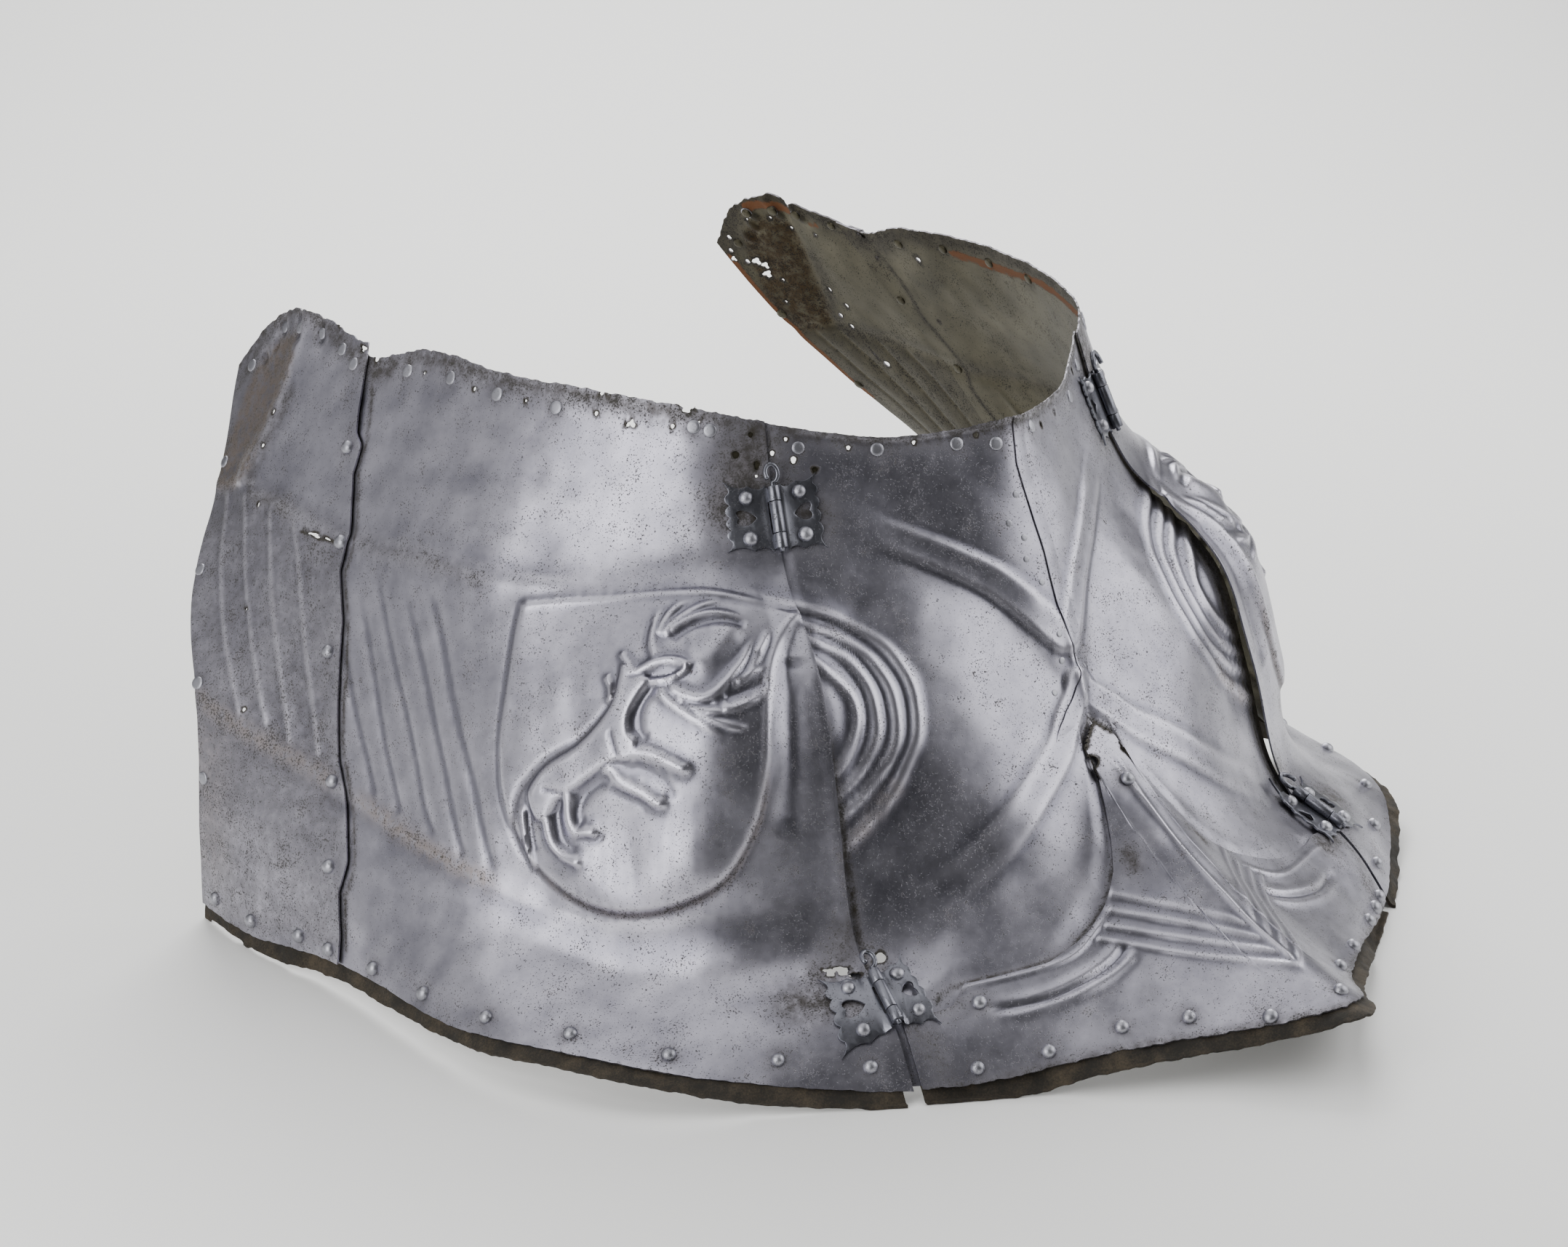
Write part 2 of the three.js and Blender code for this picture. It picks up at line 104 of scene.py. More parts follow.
SECTIONS = {
    "keel": Section(0, -245, 0, 0, (285, 170, 50, 0, -20, -60, -92),
                    (60, 100, 175, 225, 265, 365, 460)),
    "inner lobe": Section(-55, -230, 3, 6, (245, 150, 65, 0, -30, -65, -95),
                          (40, 85, 150, 230, 295, 385, 455)),
    "lobe": Section(-115, -215, 5, 10, (210, 135, 65, 0, -45, -85, -105),
                    (30, 75, 135, 235, 320, 395, 455)),
    "outer lobe": Section(-180, -195, 10, 21, (180, 125, 60, 0, -55, -95, -120),
                          (15, 65, 120, 240, 325, 400, 460)),
    "junction": Section(-235, -175, 17, 24, (160, 110, 50, 0, -60, -110, -135),
                        (10, 65, 110, 260, 330, 400, 470)),
    "shield front": Section(-315, -135, 32, 37, (130, 80, 30, 0, -90, -130, -155),
                            (20, 60, 120, 265, 350, 410, 480)),
    "shield middle": Section(-360, -45, 33, 44, (155, 95, 40, 0, -70, -115, -150),
                             (30, 55, 105, 245, 340, 410, 485)),
    "shield rear": Section(-390, 55, 33, 46, (160, 100, 45, 0, -60, -105, -155),
                           (30, 65, 120, 230, 340, 405, 485)),
    "flutes": Section(-395, 150, 32, 48, (165, 105, 55, 0, -50, -100, -160),
                      (25, 75, 135, 235, 340, 405, 480)),
    "overlap": Section(-395, 225, 42, 50, (105, 85, 45, 0, -50, -90, -145),
                       (25, 85, 160, 250, 335, 390, 465)),
    "peak": Section(-400, 320, 43, 52, (95, 85, 55, 0, -60, -115, -175),
                    (17, 95, 175, 255, 340, 405, 480)),
    "rear edge": Section(-405, 410, 36, 56, (75, 85, 70, 0, -75, -120, -155),
                         (15, 110, 190, 255, 325, 375, 420)),
}
# Where the hinges and the rear overlap lie, counted in sections, and the level of the neck
JUNCTION = 4.0
OVERLAP = 9.0
TOP = 6.0


def spline_weights(count: int, places: np.ndarray, slope: bool = False) -> np.ndarray:
    """Weights of the smooth curve through values at 0, 1, 2 and so on.

    The curve is a natural cubic spline, carried straight on past its ends.

    Args:
        count: how many values there are.
        places: where the curve is wanted.
        slope: gives the curve's slope there, not its value.

    Returns:
        One row of weights for each place.
    """
    system, right = np.eye(count), np.zeros((count, count))
    for row in range(1, count - 1):
        system[row, row - 1:row + 2] = 1 / 6, 2 / 3, 1 / 6
        right[row, row - 1:row + 2] = 1, -2, 1
    bend = np.linalg.solve(system, right)
    own = np.eye(count)
    cell = np.clip(np.floor(places), 0, count - 2).astype(int)
    part = places - cell
    b = np.clip(part, 0, 1)[:, None]
    a = 1 - b
    rise = own[cell + 1] - own[cell]
    rise = rise + (-(3 * a * a - 1) * bend[cell] + (3 * b * b - 1) * bend[cell + 1]) / 6
    if slope:
        return rise
    value = a * own[cell] + b * own[cell + 1]
    value = value + ((a ** 3 - a) * bend[cell] + (b ** 3 - b) * bend[cell + 1]) / 6
    return value + (part[:, None] - b) * rise


def smooth(low: float, high: float, value: np.ndarray) -> np.ndarray:
    """Rises from 0 at low to 1 at high, which may be the smaller of the two."""
    share = np.clip((np.asarray(value, float) - low) / (high - low), 0, 1)
    return share * share * (3 - 2 * share)


class Shell:
    """The surface that all plates follow, from the right rear edge round to the left one.

    A place on it is (across, level): across is negative on the horse's right and counts
    sections out from the keel, and level runs from 0 at the bottom to 6 at the neck.
    """

    swell = 15.0
    shift = 24.0

    def __init__(self) -> None:
        """Mirrors the sections to a net of both sides."""
        right = np.array([s.points(self.shift) for s in SECTIONS.values()])
        self.net = np.concatenate([right[::-1], right[1:] * (-1, 1, 1)])
        self.middle = len(right) - 1

    def _mix(self, across: np.ndarray, level: np.ndarray, turn: Place = (0, 0)) -> np.ndarray:
        """The net's value at each place, or its slope along one of the two directions."""
        a = spline_weights(len(self.net), across + self.middle, bool(turn[0]))
        b = spline_weights(self.net.shape[1], level, bool(turn[1]))
        return np.einsum("nj,njk->nk", b, np.einsum("ni,ijk->njk", a, self.net))

    def _swell(self, across: np.ndarray, level: np.ndarray) -> np.ndarray:
        """How far the two breast lobes stand out beyond the sections."""
        left = 1 - ((np.abs(across) - 1.9) / 1.9) ** 2 - ((level - 3.15) / 1.35) ** 2
        return self.swell * np.clip(left, 0, None) ** 2

    def frame(self, across: np.ndarray, level: np.ndarray) -> tuple[np.ndarray, ...]:
        """Point, sideways slope, upward slope and outward normal at each place.

        Args:
            across: places across the shell.
            level: levels of the same places.

        Returns:
            Four arrays of vectors, in millimetres.
        """
        across, level = np.asarray(across, float), np.asarray(level, float)
        point = self._mix(across, level)
        sideways = self._mix(across, level, (1, 0))
        upward = self._mix(across, level, (0, 1))
        normal = np.cross(sideways, upward)
        normal /= np.linalg.norm(normal, axis=1)[:, None]
        swell, step = self._swell(across, level), 0.01
        if swell.any():
            point = point + normal * swell[:, None]
            more = self._swell(across + step, level) - self._swell(across - step, level)
            sideways = sideways + normal * (more / (2 * step))[:, None]
            more = self._swell(across, level + step) - self._swell(across, level - step)
            upward = upward + normal * (more / (2 * step))[:, None]
            normal = np.cross(sideways, upward)
            normal /= np.linalg.norm(normal, axis=1)[:, None]
        return point, sideways, upward, normal

    def points(self, places: np.ndarray, lift: np.ndarray | float = 0.0) -> np.ndarray:
        """Points at places (across, level), lifted off the surface along its normal."""
        point, _, _, normal = self.frame(places[:, 0], places[:, 1])
        return point + normal * np.broadcast_to(lift, len(point))[:, None]


SHELL = Shell()


# The relief
class Rise(Enum):
    """How a raised or sunk line is shaped across its width."""

    ROUND = "round"
    SHARP = "sharp"
    BAND = "band"

    def shape(self, away: np.ndarray) -> np.ndarray:
        """Height at a distance given in widths."""
        if self is Rise.SHARP:
            return np.exp(-1.6 * (np.sqrt(away * away + 0.12) - 0.346))
        if self is Rise.BAND:
            return smooth(1.8, 0.9, away) * (0.86 + 0.14 * np.minimum(away, 1) ** 2)
        return np.exp(-away * away)


def curve(places: Sequence[Place], count: int) -> np.ndarray:
    """A smooth curve.

    Args:
        places: the places that it runs through.
        count: how many places it gets.

    Returns:
        Its places, one row each.
    """
    if len(places) == 2:
        share = np.linspace(0, 1, count)[:, None]
        return np.array(places[0]) * (1 - share) + np.array(places[1]) * share
    at = np.linspace(0, len(places) - 1, count)
    return spline_weights(len(places), at) @ np.array(places, float)


def near_line(points: np.ndarray, line: np.ndarray) -> tuple[np.ndarray, np.ndarray]:
    """Distance from points to a line of straight pieces.

    Args:
        points: the points, one row each.
        line: the corners of the line, one row each.

    Returns:
        The distance of each point, and how far along the line it is, from 0 to 1.
    """
    best = np.full(len(points), np.inf)
    share = np.zeros(len(points))
    for i in range(len(line) - 1):
        leg = line[i + 1] - line[i]
        length = max(float(leg @ leg), 1e-9)
        part = np.clip((points - line[i]) @ leg / length, 0, 1)
        gap = points - line[i] - part[:, None] * leg
        away = np.einsum("nk,nk->n", gap, gap)
        closer = away < best
        best[closer] = away[closer]
        share[closer] = (i + part[closer]) / (len(line) - 1)
    return np.sqrt(best), share


@dataclass(frozen=True)
class Stroke:
    """A raised or sunk line, drawn with places of the right half counted out from the keel.

    fade is the share of its length over which each end dies away, and taper is the width of
    its far end as a share of the width of its near end.
    """

    places: tuple[Place, ...]
    height: float
    width: float
    rise: Rise = Rise.ROUND
    fade: Place = (0.12, 0.12)
    taper: float = 1.0

    def heights(self, points: np.ndarray, places: np.ndarray) -> np.ndarray:
        """Height of the stroke.

        Args:
            points: points of the right half.
            places: their places, which an area needs and a stroke doesn't.

        Returns:
            The height at each point.
        """
        line = SHELL.points(curve(self.places, 10 * len(self.places)) * (-1, 1))
        room = 3.5 * self.width * max(self.taper, 1.0)
        low, high = line.min(0) - room, line.max(0) + room
        near = np.flatnonzero(((points > low) & (points < high)).all(1))
        heights = np.zeros(len(points))
        if len(near):
            away, share = near_line(points[near], line)
            amount = self.rise.shape(away / (self.width * (1 + (self.taper - 1) * share)))
            if self.fade[0]:
                amount = amount * smooth(0, self.fade[0], share + 0.02)
            if self.fade[1]:
                amount = amount * smooth(1, 1 - self.fade[1], share - 0.02)
            heights[near] = self.height * amount
        return heights


@dataclass(frozen=True)
class Field:
    """An area raised inside an outline, with a sloping edge of a given width."""

    outline: tuple[Place, ...]
    height: float
    slope: float

    def heights(self, points: np.ndarray, places: np.ndarray) -> np.ndarray:
        """Height of the area.

        Args:
            points: points of the right half.
            places: their places.

        Returns:
            The height at each point.
        """
        corners = curve(self.outline + self.outline[:1], 6 * len(self.outline))
        line = SHELL.points(corners * (-1, 1))
        low, high = line.min(0) - 3 * self.slope, line.max(0) + 3 * self.slope
        near = np.flatnonzero(((points > low) & (points < high)).all(1))
        heights = np.zeros(len(points))
        away, _ = near_line(points[near], line)
        inside = within(np.abs(places[near, 0]), places[near, 1], corners)
        away = np.where(inside, away, -away)
        heights[near] = self.height * smooth(-self.slope / 2, self.slope / 2, away)
        return heights


def within(across: np.ndarray, level: np.ndarray, outline: np.ndarray) -> np.ndarray:
    """Whether places lie inside an outline.

    Args:
        across: places across the shell.
        level: levels of the same places.
        outline: the outline's corners, the first one again at its end.

    Returns:
        True for each place inside.
    """
    inside = np.zeros(len(across), bool)
    for (x0, y0), (x1, y1) in zip(outline[:-1], outline[1:]):
        crosses = (y0 > level) != (y1 > level)
        rise = y1 - y0 if y1 != y0 else 1e-9
        inside ^= crosses & (across < x0 + (level - y0) * (x1 - x0) / rise)
    return inside


Group = tuple["Stroke | Field", ...]


@dataclass(frozen=True)
class Relief:
    """Shapes in groups. Shapes of one group run into one another, and groups add up."""

    groups: tuple[Group, ...]

    def heights(self, points: np.ndarray, places: np.ndarray) -> np.ndarray:
        """Height of all shapes together.

        Args:
            points: points mirrored to the right half.
            places: their places.

        Returns:
            The height at each point.
        """
        total = np.zeros(len(points))
        for group in self.groups:
            heights = [shape.heights(points, places) for shape in group]
            total += np.maximum.reduce(heights).clip(min=0)
            total += np.minimum.reduce(heights).clip(max=0)
        return total


@dataclass(frozen=True)
class Waviness:
    """Slow hand-hammered unevenness of a sheet: many faint waves in all directions."""

    height: float = 0.35
    longest: float = 90.0
    shortest: float = 18.0
    waves: int = 36

    def heights(self, points: np.ndarray) -> np.ndarray:
        """Height of the waves.

        Args:
            points: points anywhere on the sheet.

        Returns:
            The height at each point, the same for the same point.
        """
        draw = np.random.default_rng(SEED)
        total = np.zeros(len(points))
        for _ in range(self.waves):
            way = draw.normal(size=3)
            way /= np.linalg.norm(way)
            length = self.longest * (self.shortest / self.longest) ** draw.random()
            phase = draw.random() * 2 * math.pi
            share = (length / self.longest) ** 1.2
            total += share * np.sin(points @ way * (2 * math.pi / length) + phase)
        return total * self.height / math.sqrt(self.waves / 4)


def lines(places: Sequence[Sequence[Place]], height: float, width: float,
          rise: Rise = Rise.ROUND, fade: Place = (0.12, 0.12), taper: float = 1.0) -> Group:
    """Several strokes of one kind."""
    return tuple(Stroke(tuple(p), height, width, rise, fade, taper) for p in places)


# A side plate: the shield, with its left side, its foot and its right side up to the corner
SHIELD_FOOT = (
    (6.65, 3.88), (6.7, 3.66), (6.75, 3.33), (6.8, 3.05), (6.82, 2.8), (6.78, 2.58), (6.68, 2.42),
    (6.55, 2.29), (6.38, 2.2), (6.15, 2.13), (5.88, 2.09), (5.59, 2.08), (5.3, 2.11), (5.02, 2.2),
    (4.85, 2.33), (4.72, 2.48), (4.63, 2.65), (4.58, 2.87))
SHIELD_OUTLINE = SHIELD_FOOT + (
    (4.54, 3.05), (4.48, 3.27), (4.36, 3.54), (4.22, 3.79), (4.1, 4.0), (4.6, 4.02), (5.1, 3.98),
    (5.5, 3.98), (5.94, 3.99), (6.32, 3.95))
SHIELD = Relief((
    (Field(SHIELD_OUTLINE, 3.4, 9.0),),
    (Stroke(SHIELD_FOOT, -0.8, 4.0, Rise.ROUND, (0.02, 0.1)),
     Stroke(((5.74, 3.96), (5.24, 3.92), (4.86, 3.92), (4.53, 3.96), (4.05, 4.03)), -0.7, 3.6)),
    (Stroke(((6.65, 3.88), (6.32, 3.95), (5.94, 4.0), (5.44, 3.99), (5.0, 3.99), (4.6, 4.04),
             (4.28, 4.08), (3.93, 4.1)), 1.6, 4.6, Rise.ROUND, (0.05, 0)),
     Stroke(((3.97, 4.03), (4.19, 3.79), (4.34, 3.54), (4.46, 3.27), (4.53, 3.05), (4.57, 2.87),
             (4.62, 2.71), (4.7, 2.53)), 2.6, 5.4, Rise.ROUND, (0.02, 0.3))),
    (Stroke(((4.24, 3.5), (4.3, 3.15), (4.36, 2.8), (4.47, 2.45)), -2.6, 10.0),),
    (Stroke(((6.05, 2.3), (5.65, 2.17), (5.25, 2.3)), 7.0, 33.0, Rise.ROUND, (0, 0)),),
    (Stroke(((5.04, 3.44), (4.84, 3.6)), 5.0, 15.0, Rise.ROUND, (0, 0)),),
))

# The beast on the shield: its trunk, then its limbs, head, horn and tail
TRUNK = (
    (5.72, 3.44), (5.75, 3.33), (5.8, 3.21), (5.89, 3.12), (6.0, 3.04), (6.13, 2.97), (6.26, 2.92),
    (6.39, 2.86), (6.49, 2.78), (6.54, 2.7), (6.5, 2.6), (6.42, 2.56), (6.32, 2.64), (6.22, 2.72),
    (6.13, 2.75), (6.04, 2.79), (5.95, 2.83), (5.85, 2.87), (5.75, 2.89), (5.66, 2.89),
    (5.6, 2.94), (5.6, 3.0), (5.65, 3.04), (5.65, 3.12), (5.6, 3.19), (5.53, 3.26), (5.48, 3.32),
    (5.55, 3.38), (5.63, 3.42))
LIMBS = (
    lines((
        ((6.44, 2.68), (6.39, 2.58), (6.36, 2.49), (6.31, 2.43), (6.23, 2.4), (6.13, 2.38)),
        ((6.2, 2.76), (6.19, 2.66), (6.18, 2.59), (6.14, 2.54), (6.07, 2.54), (6.0, 2.54)),
        ((5.84, 2.85), (5.72, 2.78), (5.58, 2.73), (5.49, 2.69), (5.43, 2.67)),
        ((5.66, 2.93), (5.53, 2.92), (5.41, 2.89), (5.3, 2.85), (5.24, 2.83)),
    ), 5.0, 7.4, Rise.ROUND, (0.02, 0), 0.7)
    + lines((((5.68, 3.36), (5.57, 3.38), (5.44, 3.42), (5.31, 3.43), (5.22, 3.41),
              (5.17, 3.385)),), 5.2, 5.4, Rise.ROUND, (0.02, 0.02), 0.6)
    + lines((((5.5, 3.31), (5.37, 3.31), (5.26, 3.33), (5.18, 3.36)),
             ((5.71, 3.5), (5.67, 3.45), (5.61, 3.4))), 3.8, 2.8, Rise.ROUND, (0.02, 0.02))
    + lines((((6.6, 2.64), (6.6, 2.54), (6.59, 2.44), (6.57, 2.34), (6.53, 2.25)),
             ((5.86, 3.38), (5.82, 3.32), (5.81, 3.26), (5.83, 3.2))), 3.2, 2.8)
)
FIGURE_LINES = (
    lines((
        ((5.74, 3.46), (5.76, 3.33), (5.81, 3.21), (5.9, 3.12), (6.01, 3.05), (6.14, 2.98),
         (6.27, 2.94), (6.41, 2.88), (6.53, 2.8), (6.63, 2.71), (6.69, 2.6), (6.71, 2.5),
         (6.69, 2.4), (6.63, 2.3)),
    ), -1.3, 3.4)
    + lines((
        ((5.43, 3.28), (5.52, 3.23), (5.58, 3.16), (5.59, 3.09), (5.57, 3.02), (5.5, 2.985)),
        ((5.66, 2.87), (5.5, 2.82), (5.38, 2.76), (5.34, 2.68)),
        ((5.78, 2.84), (5.88, 2.8), (5.98, 2.76), (6.07, 2.71), (6.12, 2.65), (6.12, 2.6),
         (6.06, 2.58)),
        ((6.25, 2.72), (6.29, 2.65), (6.3, 2.58), (6.28, 2.5), (6.22, 2.45), (6.12, 2.43)),
    ), -1.7, 4.8)
    + lines((
        ((5.55, 2.99), (5.47, 2.97), (5.4, 2.945), (5.31, 2.905)),
        ((5.84, 2.76), (5.72, 2.72), (5.61, 2.69), (5.52, 2.65)),
        ((6.14, 2.5), (6.05, 2.5), (5.96, 2.5), (5.92, 2.54)),
        ((6.55, 2.62), (6.54, 2.5), (6.51, 2.38)),
        ((6.44, 2.6), (6.43, 2.5), (6.38, 2.42), (6.28, 2.37)),
    ), -1.1, 3.0)
    + lines((((5.66, 3.35), (5.51, 3.35), (5.37, 3.35), (5.24, 3.37)),
             ((5.81, 3.05), (5.74, 2.89)), ((6.4, 2.75), (6.21, 2.73))), -1.3, 1.8)
)
FLAMES = (
    lines((
        ((5.43, 3.45), (5.46, 3.53), (5.46, 3.62), (5.42, 3.74), (5.34, 3.84)),
        ((5.41, 3.6), (5.35, 3.71), (5.25, 3.81), (5.13, 3.9)),
        ((5.37, 3.6), (5.29, 3.68), (5.15, 3.76), (4.99, 3.84), (4.8, 3.93)),
        ((5.35, 3.62), (5.23, 3.68), (5.1, 3.73), (4.94, 3.77), (4.76, 3.78), (4.6, 3.77)),
        ((5.35, 3.31), (5.28, 3.25), (5.18, 3.21), (5.06, 3.19), (4.93, 3.23), (4.82, 3.31),
         (4.7, 3.42), (4.61, 3.54), (4.48, 3.67)),
        ((5.42, 3.29), (5.36, 3.21), (5.25, 3.14), (5.12, 3.07), (4.99, 3.01), (4.89, 2.97)),
    ), 2.9, 5.2, Rise.ROUND, (0.15, 0.4), 0.6)
    + lines((
        ((4.7, 3.3), (4.61, 3.42), (4.5, 3.57), (4.39, 3.74)),
        ((4.86, 3.25), (4.75, 3.29), (4.63, 3.35), (4.48, 3.39)),
        ((4.94, 3.12), (4.82, 3.12), (4.68, 3.15), (4.52, 3.19)),
        ((5.32, 3.24), (5.2, 3.17), (5.06, 3.12), (4.93, 3.1), (4.81, 3.09)),
        ((5.2, 3.14), (5.05, 3.08), (4.92, 3.04), (4.78, 3.01), (4.7, 3.0)),
    ), 2.5, 4.6, Rise.ROUND, (0.2, 0.45), 0.6)
    + lines((
        ((5.3, 3.57), (5.22, 3.62), (5.1, 3.67), (4.95, 3.7), (4.78, 3.71), (4.62, 3.71)),
        ((4.89, 3.18), (4.73, 3.22), (4.52, 3.28)),
    ), -1.8, 4.4)
    + lines((((5.47, 3.46), (5.51, 3.54), (5.5, 3.64), (5.46, 3.74)),
             ((5.22, 3.18), (5.1, 3.15), (4.97, 3.16)), ((4.78, 3.25), (4.66, 3.37), (4.55, 3.5))),
            -1.3, 2.8)
)
FLUTES = (
    lines((
        ((8.55, 3.92), (8.33, 3.58), (8.08, 3.23), (7.91, 2.95), (7.8, 2.65), (7.75, 2.38),
         (7.64, 2.14)),
        ((8.8, 3.65), (8.57, 3.29), (8.4, 2.95), (8.28, 2.58), (8.19, 2.34), (8.15, 2.13)),
        ((9.0, 3.2), (8.85, 2.83), (8.74, 2.61), (8.62, 2.38), (8.54, 2.09)),
        ((8.02, 3.86), (7.79, 3.5), (7.63, 3.24), (7.51, 2.95), (7.41, 2.67), (7.35, 2.34),
         (7.28, 2.1)),
        ((7.69, 3.88), (7.53, 3.67), (7.39, 3.4), (7.27, 3.09), (7.14, 2.81), (7.05, 2.46),
         (6.97, 2.1)),
    ), -1.15, 4.6, Rise.ROUND, (0.25, 0.08))
    + lines((
        ((10.77, 4.08), (10.69, 3.6), (10.6, 3.23), (10.47, 2.67), (10.39, 2.39), (10.3, 2.14)),
        ((10.47, 4.06), (10.29, 3.42), (10.16, 2.99), (10.05, 2.54), (9.92, 2.16)),
        ((10.06, 3.98), (9.96, 3.48), (9.82, 2.95), (9.69, 2.4), (9.62, 2.1)),
        ((9.74, 3.95), (9.61, 3.58), (9.47, 3.05), (9.34, 2.52), (9.27, 2.1)),
    ), 1.1, 3.2, Rise.SHARP, (0.05, 0.06))
    + lines((
        ((10.62, 4.0), (10.5, 3.5), (10.38, 3.0), (10.24, 2.5), (10.12, 2.2)),
        ((10.24, 3.95), (10.12, 3.45), (9.99, 2.95), (9.87, 2.47), (9.77, 2.2)),
        ((9.9, 3.9), (9.78, 3.5), (9.65, 3.0), (9.5, 2.45), (9.44, 2.2)),
    ), -0.6, 8.0, Rise.ROUND, (0.08, 0.08))
)
FLANK_RELIEF = Relief(SHIELD.groups + (
    (Field(TRUNK, 5.2, 6.5), *LIMBS), FIGURE_LINES, FLAMES, FLUTES,
    (Stroke(((6.49, 2.03), (6.81, 2.04), (7.22, 2.04), (7.62, 2.06), (8.12, 2.05), (8.78, 1.97),
             (9.4, 1.98), (10.4, 2.04), (11.1, 2.1)), 1.4, 8.0, Rise.ROUND, (0.1, 0)),
     Stroke(((6.2, 4.12), (6.81, 4.02), (7.27, 4.02), (7.78, 4.02), (8.63, 3.99), (9.6, 4.02),
             (10.5, 4.1), (11.1, 4.16)), 1.3, 8.0, Rise.ROUND, (0.1, 0))),
    (Stroke(((9.86, 6.0), (9.9, 5.77), (10.0, 5.42), (10.14, 5.02), (10.32, 4.59), (10.47, 4.3),
             (10.53, 4.1)), 5.5, 17.0, Rise.SHARP, (0, 0.1)),),
    lines((((10.26, 5.9), (10.22, 5.8)), ((9.96, 5.93), (9.94, 5.76)), ((9.68, 5.95), (9.66, 5.85)),
           ((10.33, 5.73), (10.32, 5.69)), ((10.52, 5.66), (10.5, 5.62))), -3.2, 4.5,
          Rise.ROUND, (0, 0)),
))

# The breast plate: a star of four fluted arms, two sets of rings and the crease below the star
CENTRE_RELIEF = Relief((
    (Stroke(((-0.3, 6.0), (0.7, 6.0), (1.7, 6.0), (2.7, 6.0), (3.7, 6.0)), 1.7, 2.8, Rise.ROUND,
            (0, 0.1)),),
    (Stroke(((0.06, 4.3), (0.5, 4.44), (1.0, 4.51), (1.5, 4.57), (2.12, 4.71), (2.65, 4.84)),
            2.3, 10.5, Rise.BAND, (0, 0.35), 0.85),
     Stroke(((0.04, 3.8), (0.3, 3.27), (0.58, 2.86), (0.84, 2.66), (1.2, 2.53), (1.62, 2.39),
             (2.1, 2.22), (2.7, 2.06), (3.4, 1.92)), 2.4, 9.0, Rise.BAND, (0, 0.4), 1.35)),
    (Stroke(((0.0, 4.45), (0.0, 4.2), (0.0, 3.9), (0.0, 3.6), (0.0, 3.25)), 2.2, 5.0, Rise.SHARP,
            (0.3, 0.3)),),
    lines((
        ((4.1, 4.16), (3.85, 4.13), (3.5, 4.06), (3.1, 3.88), (2.82, 3.72), (2.67, 3.54),
         (2.6, 3.37), (2.62, 3.19), (2.7, 3.01), (2.87, 2.87), (3.15, 2.69), (3.54, 2.56),
         (3.91, 2.44), (4.1, 2.38)),
        ((4.1, 3.98), (3.86, 3.92), (3.58, 3.86), (3.29, 3.74), (3.07, 3.6), (2.91, 3.4),
         (2.88, 3.25), (2.91, 3.09), (3.06, 2.91), (3.4, 2.75), (3.65, 2.65), (3.89, 2.58),
         (4.1, 2.5)),
        ((4.1, 3.82), (3.86, 3.75), (3.51, 3.64), (3.29, 3.47), (3.19, 3.31), (3.19, 3.13),
         (3.31, 2.95), (3.63, 2.77), (3.88, 2.68), (4.1, 2.6)),
        ((4.1, 3.6), (3.88, 3.49), (3.64, 3.35), (3.5, 3.23), (3.51, 3.08), (3.62, 2.95),
         (3.8, 2.83), (4.1, 2.7)),
    ), 3.0, 5.6, Rise.ROUND, (0, 0.1)),
))

# The flange's upper edge, about the same on both sides
FLANGE_LINE = (
    (0.0, 3.0), (0.14, 2.82), (0.33, 2.6), (0.31, 2.3), (0.4, 2.08), (0.58, 1.8), (0.87, 1.66),
    (1.2, 1.47), (1.65, 1.27), (2.2, 1.12), (3.1, 1.14), (3.5, 0.95))

# The flange: a keel, nested chevrons and curls at their ends
FLANGE_RELIEF = Relief((
    (Stroke(((0.08, 2.4), (0.02, 2.0), (-0.02, 1.6), (0.0, 1.1), (0.0, 0.75), (0.0, 0.52)),
            3.0, 3.6, Rise.SHARP, (0.3, 0.12)),
     *lines((((0.0, 0.92), (0.55, 1.22), (1.1, 1.54)), ((0.0, 0.78), (0.62, 1.1), (1.24, 1.42)),
             ((0.0, 0.64), (0.7, 0.97), (1.4, 1.3)), ((0.0, 0.5), (0.8, 0.84), (1.58, 1.2))),
            1.6, 3.4, Rise.SHARP, (0, 0.05))),
    lines((
        ((1.32, 1.12), (1.7, 0.95), (2.15, 0.84), (2.5, 0.8), (3.0, 0.86)),
        ((1.2, 1.0), (1.65, 0.82), (2.15, 0.7), (2.6, 0.66), (3.1, 0.7)),
    ), 1.5, 5.6, Rise.ROUND, (0.15, 0.3)),
    (Stroke(tuple((out, level - 0.05) for out, level in FLANGE_LINE[7:]), 1.0, 2.4, Rise.ROUND,
            (0.2, 0.1)),),
    lines((((1.26, 1.06), (1.68, 0.88), (2.15, 0.77), (2.55, 0.73), (3.05, 0.78)),), -1.4, 4.0),
))


